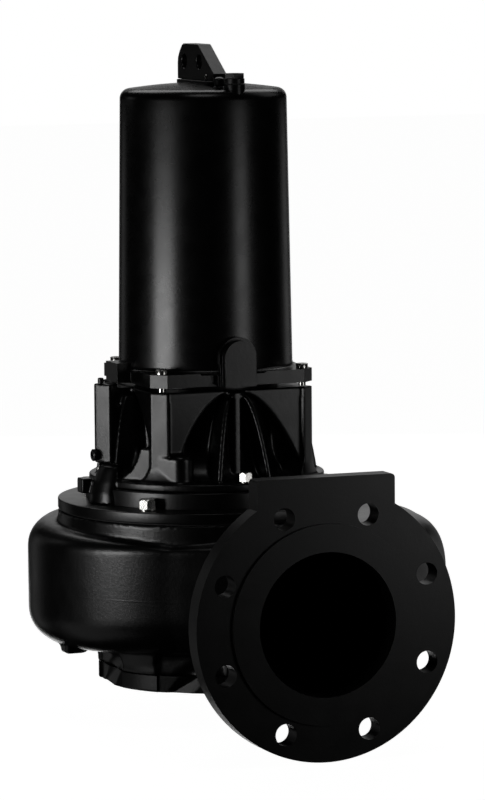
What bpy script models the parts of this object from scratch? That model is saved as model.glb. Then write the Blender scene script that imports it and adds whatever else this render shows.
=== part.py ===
"""Submersible sewage pump with a DN150 discharge flange, hung by its guide claw.

Every piece is modelled about the pump's vertical axis, with z = 0 at the height of the
discharge centre, and is then placed at PUMP_PLACE. The row's origin is a point on the
flange's raised face, straight above the discharge bore.
"""
import math

import bmesh
import bpy
from mathutils import Matrix, Vector

GAP = 0.0003
QUARTER = math.pi / 2

# Discharge flange, PN10, and where the pump's axis stands behind it
PORT_REACH = 0.348
RAISED_FACE_RADIUS = 0.104
RAISED_FACE_HEIGHT = 0.003
FLANGE_RADIUS = 0.1425
FLANGE_THICKNESS = 0.0229
PORT_RADIUS = 0.075
BOLT_CIRCLE_RADIUS = 0.120
BOLT_HOLE_RADIUS = 0.0115
BOLT_HOLES = 8
CLAW_HALF_WIDTH = 0.0757
CLAW_TOP = 0.1518
CLAW_CORNER = 0.0045
FACE_POINT_HEIGHT = 0.089
PUMP_PLACE = Vector((0.0, PORT_REACH, -FACE_POINT_HEIGHT))

# Motor housing
MOTOR_RADIUS_LOW = 0.0944
MOTOR_RADIUS_HIGH = 0.0902
MOTOR_TOP = 0.5420
MOTOR_EDGE_RADIUS = 0.011
CROWN_DROP = 0.0058
PLATE_HALF = 0.0928
FRONT_CORNER_CUT = 0.0144
BACK_CORNER_CUT = 0.0240
PLATE_BOTTOM = 0.2213
PLATE_TOP = 0.2355
PLATE_OVERLAP = 0.006
TAB_HALF_WIDTH = 0.0177
TAB_TOP = 0.2704
TAB_FACE = 0.107
TAB_BACK_HALF_WIDTH = 0.0211
TAB_BACK_FACE = 0.0985
TAB_ROOT = 0.080
CAP_FACE = 0.1085
CAP_HALF_WIDTH = 0.018
CAP_TOP = 0.2430
CORNER_SCREW_RADIUS = 0.0065
CORNER_SCREW_HEIGHT = 0.0052
SCREW_CIRCLES = (0.1137, 0.1137, 0.1075, 0.1075)

# Lifting lug on its pad, and the fittings beside it
LUG_HALF_THICKNESS = 0.008
LUG_BACK = 0.0575
LUG_CREST = -0.0025
LUG_FRONT = -0.0520
LUG_SEAT = 0.5445
LUG_TOP = 0.5830
LUG_NOSE_HEIGHT = 0.5520
LUG_CORNER = 0.004
LUG_HOLE_RADIUS = 0.008
LUG_HOLES = ((0.0367, 0.5640), (-0.0090, 0.5642))
PAD_HALF_WIDTH = 0.013
PAD_CENTRES = (0.044, -0.043)
PAD_ROOT = 0.525
SCREW_PLACE = (-0.0053, -0.0630)
SCREW_RADIUS = 0.0055
SCREW_HEIGHT = 0.0100
SCREW_SEAT = 0.5392
SCREW_SEAT_RADIUS = 0.0065
PIN_PLACE = (-0.0115, -0.0400)
PIN_RADIUS = 0.0014
PIN_HEIGHT = 0.0070
GLAND_PLACE = (0.0070, -0.0768)
GLAND_BOSS_RADIUS = 0.0110
GLAND_BOSS_TOP = 0.5425
GLAND_RADIUS = 0.0106
GLAND_HEIGHT = 0.0055
GLAND_BORE_RADIUS = 0.0050
NUT_RADIUS = 0.0112
NUT_HEIGHT = 0.0050

# Seal housing between the motor and the casing
HOUSING_TOP = 0.2163
HOUSING_BOTTOM = 0.1115
FOOT_TOP = 0.1200
FOOT_RADIUS = 0.128
FOOT_EDGE = 0.001
FOOT_OVERLAP = 0.004
FACE_RECESS = 0.0038
PILASTER_MARGIN = 0.0010
ARCH_TOP = 0.2145
ARCH_DROP = 14.8
ARCH_HALF_WIDTH = 0.0770
POCKET_DEPTH = 0.026
POCKET_BACK = PLATE_HALF - POCKET_DEPTH
RIB_HALF_WIDTH = 0.0047
RIB_NOSE = 0.0905
RIB_ROOT = 0.0740
FIN_HALF_WIDTH = 0.0030
FIN_TOP = 0.2110
FIN_BOTTOM = 0.1160
FIN_START = (0.0062, 0.0935)
FIN_TRAVEL = (0.0228, 0.0250)
FIN_ROOT = 0.073
WEB_HALF_WIDTH = 0.010
WEB_INNER = 0.050
WEB_OUTER = 0.118
WEB_TOP = 0.205
WEB_BOTTOM = HOUSING_BOTTOM + 0.002
BOSS_PLACE = (-0.0638, -0.0905)
BOSS_RADIUS = 0.0142
BOSS_TOP = 0.1476
BOSS_BOTTOM = HOUSING_BOTTOM + 0.003
EAR_INNER = 0.1345
EAR_OUTER = 0.1465
EAR_HALF_WIDTH = 0.009
EAR_TOP = 0.1190
EAR_BOTTOM = 0.1030
LUG_FOOT_AZIMUTH = math.radians(-168)
LUG_FOOT_CLEARANCE = 0.0006
LUG_FOOT_LOW = ((0.0942, 0.1405, math.radians(13.0)), (0.1150, 0.1352, math.radians(9.6)))
LUG_FOOT_ROOT = 0.118
LUG_FOOT_HIGH = ((0.1127, 0.1362, math.radians(9.9)), (0.1176, 0.1345, math.radians(9.0)))
COLUMN_PLACE = 0.1154
COLUMN_RADIUS = 0.0126
COLUMN_BOTTOM = 0.1345
COLUMN_TOP = 0.2201
COLUMN_WEB_HALF_WIDTH = 0.0095
PLUG_RADIUS = 0.0065
PLUG_HEIGHT = 0.0040
PLUG_LEVEL = 0.1432
STUD_PLACE = (-0.1210, 0.0)
STUD_RADIUS = 0.0032
STUD_HEIGHT = 0.0065
HOUSING_BOLT_CIRCLE = 0.1185
HOUSING_BOLT_FLATS = 0.013
HOUSING_BOLT_HEIGHT = 0.0110

# Cover plate and the ring on it
SPIGOT_UPPER_RADIUS = 0.078
RING_RADIUS = 0.132
RING_EDGE = 0.0015
COVER_RADIUS = 0.1623
COVER_EDGE = 0.0010
COVER_TOP = 0.0934
COVER_BOTTOM = 0.0819
SPIGOT_RADIUS = 0.1392
SPIGOT_BOTTOM = 0.0520
COVER_OPENING_RADIUS = SPIGOT_RADIUS + 0.0006
GASKET_RADII = (0.1415, 0.1600)
COVER_BOLT_CIRCLE = 0.144
COVER_BOLT_FLATS = 0.017
COVER_BOLT_HEIGHT = 0.0122
COVER_BOLT_DEGREES = (-136.5, -82.5, -46.5, 7.5, 43.5, 97.5, 133.5)

# Volute casing: a clockwise spiral seen from above, then a duct to the flange
TONGUE_ANGLE = math.radians(235)
SPIRAL_SWEEP = math.radians(235)
SPIRAL_RADIUS_START = 0.170
SPIRAL_RADIUS_END = 0.249
SPIRAL_TOP_START = 0.057
SPIRAL_TOP_END = 0.079
SPIRAL_TOP_LIMIT = 0.0700
SPIRAL_BOTTOM_START = 0.058
SPIRAL_BOTTOM_END = 0.080
SHOULDER_RADIUS = 0.030
SHOULDER_MARGIN = 0.002
LOWER_CORNER = (0.046, 0.040)
CASING_INNER = 0.050
CASING_FLOOR = 0.110
CASING_WALL = 0.011
PASSAGE_CORNER = 0.024
CASING_TOP = 0.0805
NECK_SPARE = 0.004
NECK_TRIM_RADIUS = COVER_RADIUS + 0.02
DUCT_START = Vector((0.1735, 0.0))
DUCT_LEAVE = Vector((0.215, -0.115))
DUCT_ARRIVE = Vector((0.015, -0.190))
DUCT_OUTER_HALF = (0.074, 0.0725)
DUCT_INNER_HALF = (0.063, 0.0615)
DUCT_OUTER_RADIUS = 0.0875
FLANGE_BACK = PORT_REACH - RAISED_FACE_HEIGHT - FLANGE_THICKNESS - GAP

# Base of the casing and its suction cover, both with webs round a slightly smaller drum
BASE_RADIUS = 0.1205
BASE_ROOT = -0.040
BASE_BOTTOM = -0.0885
PANEL_DEPTH = 0.004
PANEL_TOP = -0.0650
PANEL_REACH = 0.14
PANEL_HALF_ANGLE = math.radians(18.2)
WEBS = 6
WEB_HALF_ANGLE = math.radians(12.6)
WEB_FLARE = math.radians(10)
WEB_ROOT_RADIUS = 0.095
WEB_RISE = (-0.0870, -0.0200)
LEG_PLACE = (-0.1555, 0.0)
LEG_SIZE = (0.0250, 0.0240, 0.0280)
LEG_BOTTOM = -0.0700
LEG_TAPER = 0.84
SUCTION_COVER_BOTTOM = -0.1065
SUCTION_COVER_RADIUS = 0.1200
SUCTION_COVER_EDGE = 0.003
SUCTION_MOUTH_EDGE = 0.004

# Impeller
IMPELLER_RADIUS = 0.105
IMPELLER_TOP = 0.0440
IMPELLER_RIM_BOTTOM = 0.0350
HUB_BOTTOM = 0.0040
HUB_PROFILE = ((0.0340, 0.0330), (0.0280, 0.0080), (0.0240, HUB_BOTTOM))
IMPELLER_VANES = 6
VANE_START = 0.024
VANE_RIM_MARGIN = 0.004
VANE_SWEEP = 0.7
VANE_HALF_WIDTH = 0.0035
VANE_TOP = 0.037
WHEEL_NUT_RADIUS = 0.0110
WHEEL_NUT_BOTTOM = -0.0060
SHAFT_RADIUS = 0.0125

BLACK_PAINT = ("black_paint", (0.022, 0.023, 0.024), 0.38, 0.0)
BARE_STEEL = ("stainless_bolt", (0.62, 0.61, 0.58), 0.28, 1.0)
DARK_PLUG = ("dark_plug", (0.020, 0.020, 0.021), 0.55, 0.0)
GASKET = ("gasket", (0.012, 0.012, 0.012), 0.80, 0.0)
CAST_IRON = ("impeller_iron", (0.060, 0.058, 0.055), 0.55, 0.6)
SHAFT_STEEL = ("shaft_steel", (0.45, 0.45, 0.44), 0.35, 1.0)
SHARP_EDGE = math.radians(35)


def clear_scene():
    for thing in list(bpy.data.objects):
        bpy.data.objects.remove(thing, do_unlink=True)


def make_collection(name):
    collection = bpy.data.collections.new(name)
    bpy.context.scene.collection.children.link(collection)
    return collection


def get_material(recipe):
    name, colour, roughness, metallic = recipe
    if name in bpy.data.materials:
        return bpy.data.materials[name]
    material = bpy.data.materials.new(name)
    material.use_nodes = True
    shader = material.node_tree.nodes["Principled BSDF"]
    shader.inputs["Base Color"].default_value = (*colour, 1.0)
    shader.inputs["Roughness"].default_value = roughness
    shader.inputs["Metallic"].default_value = metallic
    return material


clear_scene()
PARTS = make_collection("sewage_pump")
CUTTERS = make_collection("cutters")


# Making and joining solids

def place_mesh(name, bm, recipe):
    """Turn a bmesh into a part at the pump's place."""
    mesh = bpy.data.meshes.new(name)
    bmesh.ops.recalc_face_normals(bm, faces=bm.faces)
    bm.to_mesh(mesh)
    bm.free()
    thing = bpy.data.objects.new(name, mesh)
    thing.location = PUMP_PLACE
    mesh.materials.append(get_material(recipe))
    PARTS.objects.link(thing)
    mesh.shade_smooth()
    mesh.set_sharp_from_angle(angle=SHARP_EDGE)
    return thing


def make_tool(name, bm):
    """Turn a bmesh into a cutter, or into a lump that a Boolean joins to a part."""
    mesh = bpy.data.meshes.new(name)
    bmesh.ops.recalc_face_normals(bm, faces=bm.faces)
    bm.to_mesh(mesh)
    bm.free()
    return file_tool(bpy.data.objects.new(name, mesh))


def file_tool(tool):
    tool.location = PUMP_PLACE
    tool.hide_render = True
    tool.display_type = "WIRE"
    return tool


def boolean(part, tools, operation):
    """One exact step with a whole set of tools, so that no rounding builds up between them."""
    group = bpy.data.collections.new(f"{part.name}_{operation.lower()}")
    CUTTERS.children.link(group)
    for tool in tools:
        group.objects.link(tool)
    step = part.modifiers.new(operation.lower(), "BOOLEAN")
    step.operand_type = "COLLECTION"
    step.collection = group
    step.operation = operation
    step.solver = "EXACT"


def cut(part, *tools):
    boolean(part, tools, "DIFFERENCE")


def join(part, *tools):
    boolean(part, tools, "UNION")


def turn(bm, angle):
    bmesh.ops.rotate(bm, verts=bm.verts, cent=(0, 0, 0), matrix=Matrix.Rotation(angle, 3, "Z"))
    return bm


def box(x_range, y_range, z_range):
    bm = bmesh.new()
    bmesh.ops.create_cube(bm, size=1.0)
    size = [high - low for low, high in (x_range, y_range, z_range)]
    middle = [(high + low) / 2 for low, high in (x_range, y_range, z_range)]
    bmesh.ops.scale(bm, verts=bm.verts, vec=size)
    bmesh.ops.translate(bm, verts=bm.verts, vec=middle)
    return bm


def upright(radius, z_range, centre=(0.0, 0.0), sides=48, top_radius=None):
    """A vertical cylinder or cone, with its first corner on +X."""
    bm = bmesh.new()
    low, high = z_range
    upper = radius if top_radius is None else top_radius
    bmesh.ops.create_cone(bm, cap_ends=True, segments=sides, radius1=radius, radius2=upper, depth=high - low)
    bmesh.ops.translate(bm, verts=bm.verts, vec=(centre[0], centre[1], (high + low) / 2))
    return bm


def along_y(radius, y_range, centre=(0.0, 0.0), sides=48):
    """A cylinder along Y, with its centre given in X and Z."""
    bm = bmesh.new()
    low, high = y_range
    bmesh.ops.create_cone(bm, cap_ends=True, segments=sides, radius1=radius, radius2=radius, depth=high - low)
    bmesh.ops.rotate(bm, verts=bm.verts, cent=(0, 0, 0), matrix=Matrix.Rotation(QUARTER, 3, "X"))
    bmesh.ops.translate(bm, verts=bm.verts, vec=(centre[0], (high + low) / 2, centre[1]))
    return bm


def along_x(radius, x_range, centre=(0.0, 0.0), sides=32):
    """A cylinder along X, with its centre given in Y and Z."""
    bm = bmesh.new()
    low, high = x_range
    bmesh.ops.create_cone(bm, cap_ends=True, segments=sides, radius1=radius, radius2=radius, depth=high - low)
    bmesh.ops.rotate(bm, verts=bm.verts, cent=(0, 0, 0), matrix=Matrix.Rotation(QUARTER, 3, "Y"))
    bmesh.ops.translate(bm, verts=bm.verts, vec=((high + low) / 2, centre[0], centre[1]))
    return bm


def prism(outline, direction, start, end):
    """A flat outline of two coordinates, pushed from start to end along X, Y or Z."""
    bm = bmesh.new()
    slot = "XYZ".index(direction)

    def corner(first, second):
        point = [first, second]
        point.insert(slot, start)
        return point

    face = bm.faces.new([bm.verts.new(corner(*pair)) for pair in outline])
    pushed = bmesh.ops.extrude_face_region(bm, geom=[face])
    step = [0.0, 0.0, 0.0]
    step[slot] = end - start
    lifted = [part for part in pushed["geom"] if isinstance(part, bmesh.types.BMVert)]
    bmesh.ops.translate(bm, verts=lifted, vec=step)
    return bm


def loft(rings):
    """Skin a row of equal point rings, with a cap at each end."""
    bm = bmesh.new()
    rows = [[bm.verts.new(point) for point in ring] for ring in rings]
    count = len(rows[0])
    for here, there in zip(rows, rows[1:]):
        for side in range(count):
            after = (side + 1) % count
            bm.faces.new((here[side], here[after], there[after], there[side]))
    bm.faces.new(rows[0])
    bm.faces.new(rows[-1])
    return bm


def turned(name, outline, sides, recipe=None):
    """A turned solid: the outline is (radius, height), top to bottom down its outer side."""
    mesh = bpy.data.meshes.new(name)
    points = [(radius, 0.0, height) for radius, height in outline]
    closed_ring = min(radius for radius, height in outline) > 0.0
    edges = [(i, i + 1) for i in range(len(points) - 1)]
    if closed_ring:
        edges.append((len(points) - 1, 0))
    mesh.from_pydata(points, edges, [])
    thing = bpy.data.objects.new(name, mesh)
    screw = thing.modifiers.new("turn", "SCREW")
    screw.steps = sides
    screw.render_steps = sides
    screw.use_merge_vertices = True
    screw.merge_threshold = 0.00001
    screw.use_smooth_shade = True
    if recipe is None:
        return file_tool(thing)
    thing.location = PUMP_PLACE
    mesh.materials.append(get_material(recipe))
    PARTS.objects.link(thing)
    return thing


def polar(radius, angle, height):
    return radius * math.cos(angle), radius * math.sin(angle), height


def arc(centre, radius, start, end, steps):
    """Points of an arc in a flat outline, angles in degrees."""
    points = []
    for index in range(steps + 1):
        angle = math.radians(start + (end - start) * index / steps)
        points.append((centre[0] + radius * math.cos(angle), centre[1] + radius * math.sin(angle)))
    return points


def square_outline(half, front_cut, back_cut):
    """A square seen from above, with its corners cut at 45 degrees."""
    front, back = half - front_cut, half - back_cut
    return [(-half, -front), (-front, -half), (front, -half), (half, -front),
            (half, back), (back, half), (-back, half), (-half, back)]


def smooth(value):
    """Ease from 0 to 1 with level ends."""
    return value * value * (3 - 2 * value)


# Motor housing with its square flange

def crown_height(radius):
    """Height of the housing's gently domed top at a radius."""
    edge = MOTOR_RADIUS_HIGH - MOTOR_EDGE_RADIUS
    return MOTOR_TOP - CROWN_DROP * (radius / edge) ** 2


def motor_outline():
    edge = MOTOR_RADIUS_HIGH - MOTOR_EDGE_RADIUS
    centre = (edge, crown_height(edge) - MOTOR_EDGE_RADIUS)
    crown = [(edge * step / 5, crown_height(edge * step / 5)) for step in range(5)]
    shoulder = arc(centre, MOTOR_EDGE_RADIUS, 86, 0, 5)
    return crown + shoulder + [(MOTOR_RADIUS_LOW, PLATE_TOP), (MOTOR_RADIUS_LOW, PLATE_TOP - PLATE_OVERLAP),
                               (0.0, PLATE_TOP - PLATE_OVERLAP)]


def build_motor_housing():
    housing = turned("motor_housing", motor_outline(), 48, BLACK_PAINT)
    plate = prism(square_outline(PLATE_HALF, FRONT_CORNER_CUT, BACK_CORNER_CUT), "Z", PLATE_BOTTOM, PLATE_TOP)
    cap = box((-CAP_FACE, -TAB_ROOT), (-CAP_HALF_WIDTH, CAP_HALF_WIDTH), (PLATE_BOTTOM, CAP_TOP))
    seat = upright(SCREW_SEAT_RADIUS, (PAD_ROOT, SCREW_SEAT), SCREW_PLACE, 20)
    boss = upright(GLAND_BOSS_RADIUS, (PAD_ROOT, GLAND_BOSS_TOP), GLAND_PLACE, 28)
    join(housing, make_tool("motor_plate", plate), make_tool("side_cap", cap),
         make_tool("front_tab", tab_shape(TAB_HALF_WIDTH, TAB_FACE)),
         make_tool("front_tab_back", tab_shape(TAB_BACK_HALF_WIDTH, TAB_BACK_FACE)),
         make_tool("lug_pad", pad_shape()), make_tool("screw_seat", seat), make_tool("gland_boss", boss))


def tab_shape(half_width, face):
    """One layer of the arched tab at the middle of the flange's front edge."""
    arch_centre = (0.0, TAB_TOP - TAB_HALF_WIDTH)
    outline = [(-half_width, PLATE_BOTTOM), (half_width, PLATE_BOTTOM)]
    outline += arc(arch_centre, half_width, 0, 180, 12)
    return prism(outline, "Y", -face, -TAB_ROOT)


def pad_shape():
    """Flat seat for the lifting lug on the domed top."""
    back, front = PAD_CENTRES
    outline = arc((0.0, back), PAD_HALF_WIDTH, 0, 180, 8) + arc((0.0, front), PAD_HALF_WIDTH, 180, 360, 8)
    return prism(outline, "Z", PAD_ROOT, LUG_SEAT - GAP)


def build_lifting_lug():
    top = LUG_TOP - LUG_CORNER
    outline = [(LUG_BACK, LUG_SEAT), (LUG_BACK, LUG_TOP - 0.0210), (LUG_BACK - 0.0013, LUG_TOP - 0.0150),
               (LUG_BACK - 0.0064, LUG_TOP - 0.0080), (LUG_BACK - 0.0138, LUG_TOP - 0.0015),
               (LUG_BACK - 0.0178, LUG_TOP)]
    outline += arc((LUG_CREST, top), LUG_CORNER, 90, 122, 3)
    outline += [(LUG_FRONT, LUG_NOSE_HEIGHT), (LUG_FRONT, LUG_SEAT)]
    lug = place_mesh("lifting_lug", prism(outline, "X", -LUG_HALF_THICKNESS, LUG_HALF_THICKNESS), BLACK_PAINT)
    reach = (-2 * LUG_HALF_THICKNESS, 2 * LUG_HALF_THICKNESS)
    cut(lug, *[make_tool(f"lug_hole_{index + 1}", along_x(LUG_HOLE_RADIUS, reach, centre))
               for index, centre in enumerate(LUG_HOLES)])


def build_top_fittings():
    """Screw and pin at the lug's foot, and the cable gland on its boss."""
    low = SCREW_SEAT + GAP
    bolt = upright(SCREW_RADIUS, (low, low + SCREW_HEIGHT), SCREW_PLACE, 20, 0.8 * SCREW_RADIUS)
    place_mesh("lug_bolt_front", bolt, BARE_STEEL)
    pin = upright(PIN_RADIUS, (LUG_SEAT, LUG_SEAT + PIN_HEIGHT), PIN_PLACE, 12)
    place_mesh("lug_bolt_side", pin, BARE_STEEL)
    low = GLAND_BOSS_TOP + GAP
    body = upright(GLAND_RADIUS, (low, low + GLAND_HEIGHT), GLAND_PLACE, 32)
    gland = place_mesh("cable_gland", body, DARK_PLUG)
    low += GLAND_HEIGHT + GAP
    nut = place_mesh("gland_nut", upright(NUT_RADIUS, (low, low + NUT_HEIGHT), GLAND_PLACE, 6), DARK_PLUG)
    for thing in (gland, nut):
        bore = upright(GLAND_BORE_RADIUS, (LUG_SEAT - 0.02, LUG_TOP), GLAND_PLACE, 20)
        cut(thing, make_tool(f"{thing.name}_bore", bore))


def build_corner_screws():
    """Screw heads on the flange's corners, front left first and then anticlockwise from above."""
    low = PLATE_TOP + GAP
    for index, circle in enumerate(SCREW_CIRCLES):
        bm = upright(CORNER_SCREW_RADIUS, (low, low + CORNER_SCREW_HEIGHT), (circle, 0.0), 20)
        place_mesh(f"corner_screw_{index + 1}", turn(bm, math.radians(225) + index * QUARTER), BARE_STEEL)


# Seal housing: square at the top, round at the foot, with arched pockets

def build_seal_housing():
    outline = square_outline(PLATE_HALF, FRONT_CORNER_CUT, FRONT_CORNER_CUT)
    inside_foot = HOUSING_BOTTOM + FOOT_OVERLAP
    housing = place_mesh("seal_housing", prism(outline, "Z", inside_foot, HOUSING_TOP), BLACK_PAINT)
    cuts = []
    lumps = [turned("housing_core", core_outline(), 40)]
    for index in range(4):
        angle = index * QUARTER
        side = index + 1
        cuts.append(make_tool(f"face_recess_{side}", turn(face_recess(), angle)))
        cuts.append(make_tool(f"arch_pocket_{side}", turn(arch_pocket(), angle)))
        web = box((-WEB_HALF_WIDTH, WEB_HALF_WIDTH), (-WEB_OUTER, -WEB_INNER), (WEB_BOTTOM, WEB_TOP))
        lumps.append(make_tool(f"corner_web_{side}", turn(web, angle + QUARTER / 2)))
        lumps.append(make_tool(f"centre_rib_{side}", turn(centre_rib(), angle)))
        lumps.append(make_tool(f"left_fin_{side}", turn(fin(-1), angle)))
        lumps.append(make_tool(f"right_fin_{side}", turn(fin(1), angle)))
    boss = upright(BOSS_RADIUS, (BOSS_BOTTOM, BOSS_TOP), BOSS_PLACE, 24)
    ear = box((-EAR_OUTER, -EAR_INNER), (-EAR_HALF_WIDTH, EAR_HALF_WIDTH), (EAR_BOTTOM, EAR_TOP))
    lumps.append(make_tool("plug_boss", boss))
    lumps.append(make_tool("side_ear", ear))
    lumps.append(make_tool("foot_lug", arc_block(RING_RADIUS + LUG_FOOT_CLEARANCE, *LUG_FOOT_LOW)))
    lumps.append(make_tool("foot_lug_root", arc_block(LUG_FOOT_ROOT, *LUG_FOOT_HIGH)))
    cut(housing, *cuts)
    join(housing, *lumps, *side_column())


def face_recess():
    """Shallow step that leaves the corner pilasters standing proud."""
    side = PLATE_HALF - FRONT_CORNER_CUT - PILASTER_MARGIN
    outside = PLATE_HALF + 0.01
    heights = (HOUSING_BOTTOM - 0.01, HOUSING_TOP + 0.01)
    return box((-side, side), (-outside, FACE_RECESS - PLATE_HALF), heights)


def arch_pocket():
    """Arch with a parabolic outline, open at the foot."""
    steps = 16
    below = HOUSING_BOTTOM - 0.01
    outline = []
    for index in range(steps + 1):
        x = ARCH_HALF_WIDTH * (1 - 2 * index / steps)
        outline.append((x, ARCH_TOP - ARCH_DROP * x * x))
    outline += [(-ARCH_HALF_WIDTH, below), (ARCH_HALF_WIDTH, below)]
    return prism(outline, "Y", -PLATE_HALF - 0.01, -POCKET_BACK)


def core_outline():
    """The round core, which flares out to the foot."""
    top = HOUSING_TOP - 0.0008
    return [(0.0, top), (0.0800, top), (0.0820, 0.1800), (0.0850, 0.1550), (0.0915, 0.1380), (0.1010, 0.1265),
            (0.1090, FOOT_TOP), (FOOT_RADIUS - FOOT_EDGE, FOOT_TOP), (FOOT_RADIUS, FOOT_TOP - FOOT_EDGE),
            (FOOT_RADIUS, HOUSING_BOTTOM), (0.0, HOUSING_BOTTOM)]


def centre_rib():
    """Round-nosed rib up the middle of a pocket, rooted in the core."""
    outline = arc((0.0, -RIB_NOSE), RIB_HALF_WIDTH, 180, 360, 7)
    outline += [(RIB_HALF_WIDTH, -RIB_ROOT), (-RIB_HALF_WIDTH, -RIB_ROOT)]
    return prism(outline, "Z", FOOT_TOP - 0.002, ARCH_TOP + 0.0007)


def fin(side):
    """Curved fin from the arch's top out to the foot; side is -1 for left and 1 for right."""
    steps = 8
    rings = []
    for index in range(-1, steps + 1):
        share = max(index, 0) / steps
        z = FIN_TOP + (FIN_BOTTOM - FIN_TOP) * share if index >= 0 else ARCH_TOP + 0.0010
        x = side * (FIN_START[0] + FIN_TRAVEL[0] * math.sqrt(share))
        y = -FIN_START[1] - FIN_TRAVEL[1] * math.sqrt(share)
        left, right = x - FIN_HALF_WIDTH, x + FIN_HALF_WIDTH
        rings.append([(left, -FIN_ROOT, z), (left, y, z), (right, y, z), (right, -FIN_ROOT, z)])
    return loft(rings)


def arc_block(inner, *levels):
    """Block round the foot's left edge, from an inner radius out to each level's reach and half angle."""
    spokes = 6
    rings = []
    for height, reach, half in levels:
        turns = [half * (1 - 2 * spoke / spokes) for spoke in range(spokes + 1)]
        ring = [polar(inner, LUG_FOOT_AZIMUTH + angle, height) for angle in turns]
        ring += [polar(reach, LUG_FOOT_AZIMUTH - angle, height) for angle in turns]
        rings.append(ring)
    return loft(rings)


def side_column():
    """Half-round column on the left side, with the web that carries it."""
    column = upright(COLUMN_RADIUS, (COLUMN_BOTTOM, COLUMN_TOP), (-COLUMN_PLACE, 0.0), 24)
    web = box((-COLUMN_PLACE, -0.080), (-COLUMN_WEB_HALF_WIDTH, COLUMN_WEB_HALF_WIDTH),
              (COLUMN_BOTTOM + 0.003, HOUSING_TOP - 0.001))
    return make_tool("side_column", column), make_tool("column_web", web)


def build_column_fittings():
    """Plug low on the column's outer face, and the pin in its top."""
    face = -COLUMN_PLACE - COLUMN_RADIUS
    plug = along_x(PLUG_RADIUS, (face - PLUG_HEIGHT, face - GAP), (0.0, PLUG_LEVEL), 24)
    place_mesh("column_plug", plug, DARK_PLUG)
    pin = upright(STUD_RADIUS, (COLUMN_TOP + GAP, COLUMN_TOP + STUD_HEIGHT), STUD_PLACE, 16)
    place_mesh("column_pin", pin, DARK_PLUG)


def hex_bolt(across_flats, height, centre_radius, seat, angle):
    """A hex head standing on its seat, at an angle round the pump's axis."""
    bm = upright(across_flats / math.sqrt(3), (seat, seat + height), (centre_radius, 0.0), 6)
    return turn(bm, angle)


def build_bolts():
    for index in range(4):
        head = hex_bolt(HOUSING_BOLT_FLATS, HOUSING_BOLT_HEIGHT, HOUSING_BOLT_CIRCLE, FOOT_TOP + GAP,
                        math.pi + index * QUARTER)
        place_mesh(f"housing_bolt_{index + 1}", head, BARE_STEEL)
    for index, degrees in enumerate(COVER_BOLT_DEGREES):
        head = hex_bolt(COVER_BOLT_FLATS, COVER_BOLT_HEIGHT, COVER_BOLT_CIRCLE, COVER_TOP + GAP,
                        math.radians(degrees))
        place_mesh(f"cover_bolt_{index + 1}", head, BARE_STEEL)


# Rings and cover between the housing and the casing

def build_rings():
    top, bottom = PLATE_BOTTOM - GAP, HOUSING_TOP + GAP
    register = [(0.0, top), (SPIGOT_UPPER_RADIUS, top), (SPIGOT_UPPER_RADIUS, bottom), (0.0, bottom)]
    turned("motor_spigot", register, 48, BLACK_PAINT)
    top, bottom = HOUSING_BOTTOM - GAP, COVER_TOP + GAP
    turned("bearing_ring", [(0.0, top), (RING_RADIUS - RING_EDGE, top), (RING_RADIUS, top - RING_EDGE),
                            (RING_RADIUS, bottom), (0.0, bottom)], 48, BLACK_PAINT)
    bore = SHAFT_RADIUS + GAP
    turned("cover_plate", [(bore, COVER_TOP), (COVER_RADIUS - COVER_EDGE, COVER_TOP),
                           (COVER_RADIUS, COVER_TOP - COVER_EDGE), (COVER_RADIUS, COVER_BOTTOM),
                           (SPIGOT_RADIUS, COVER_BOTTOM), (SPIGOT_RADIUS, SPIGOT_BOTTOM),
                           (bore, SPIGOT_BOTTOM)], 52, BLACK_PAINT)
    inner, outer = GASKET_RADII
    high, low = COVER_BOTTOM - GAP, CASING_TOP + GAP
    ring = [(inner, high), (outer, high), (outer, low), (inner, low)]
    turned("casing_gasket", ring, 48, GASKET)


# Volute casing

def travel_share(angle):
    """How far round the spiral an angle lies, from 0 at the tongue to 1 where the duct leaves."""
    travel = (TONGUE_ANGLE - angle) % (2 * math.pi)
    if travel <= SPIRAL_SWEEP:
        return travel / SPIRAL_SWEEP
    return 1 - smooth((travel - SPIRAL_SWEEP) / (2 * math.pi - SPIRAL_SWEEP))


def spiral_size(angle):
    """Outer radius, top and bottom of the spiral at an angle."""
    share = travel_share(angle)
    lift = share ** 0.6
    radius = SPIRAL_RADIUS_START + (SPIRAL_RADIUS_END - SPIRAL_RADIUS_START) * share
    top = min(SPIRAL_TOP_START + (SPIRAL_TOP_END - SPIRAL_TOP_START) * lift, SPIRAL_TOP_LIMIT)
    bottom = SPIRAL_BOTTOM_START + (SPIRAL_BOTTOM_END - SPIRAL_BOTTOM_START) * lift
    return radius, top, -bottom


def outer_section(radius, top, bottom):
    """Half section of the casing, from its top centre round the outside to its bottom centre."""
    corner = min(SHOULDER_RADIUS, radius - COVER_RADIUS - SHOULDER_MARGIN)
    neck = CASING_TOP + NECK_SPARE
    points = [(CASING_INNER, neck), (COVER_RADIUS, neck), (COVER_RADIUS, top + 0.001)]
    points += arc((radius - corner, top - corner), corner, 90, 0, 5)
    wide, high = LOWER_CORNER
    for step in range(7):
        angle = math.radians(step * 15)
        points.append((radius - wide + wide * math.cos(angle), bottom + high - high * math.sin(angle)))
    points += [(CASING_FLOOR, bottom), (CASING_INNER, bottom)]
    return points


def inner_section(radius, top, bottom):
    """Half section of the water passage."""
    corner = PASSAGE_CORNER
    outer, high, low = radius - CASING_WALL, top - CASING_WALL, bottom + CASING_WALL
    points = [(CASING_INNER, high)]
    points += arc((outer - corner, high - corner), corner, 90, 0, 4)
    points += arc((outer - corner, low + corner), corner, 0, -90, 4)
    points.append((CASING_INNER, low))
    return points


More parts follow.
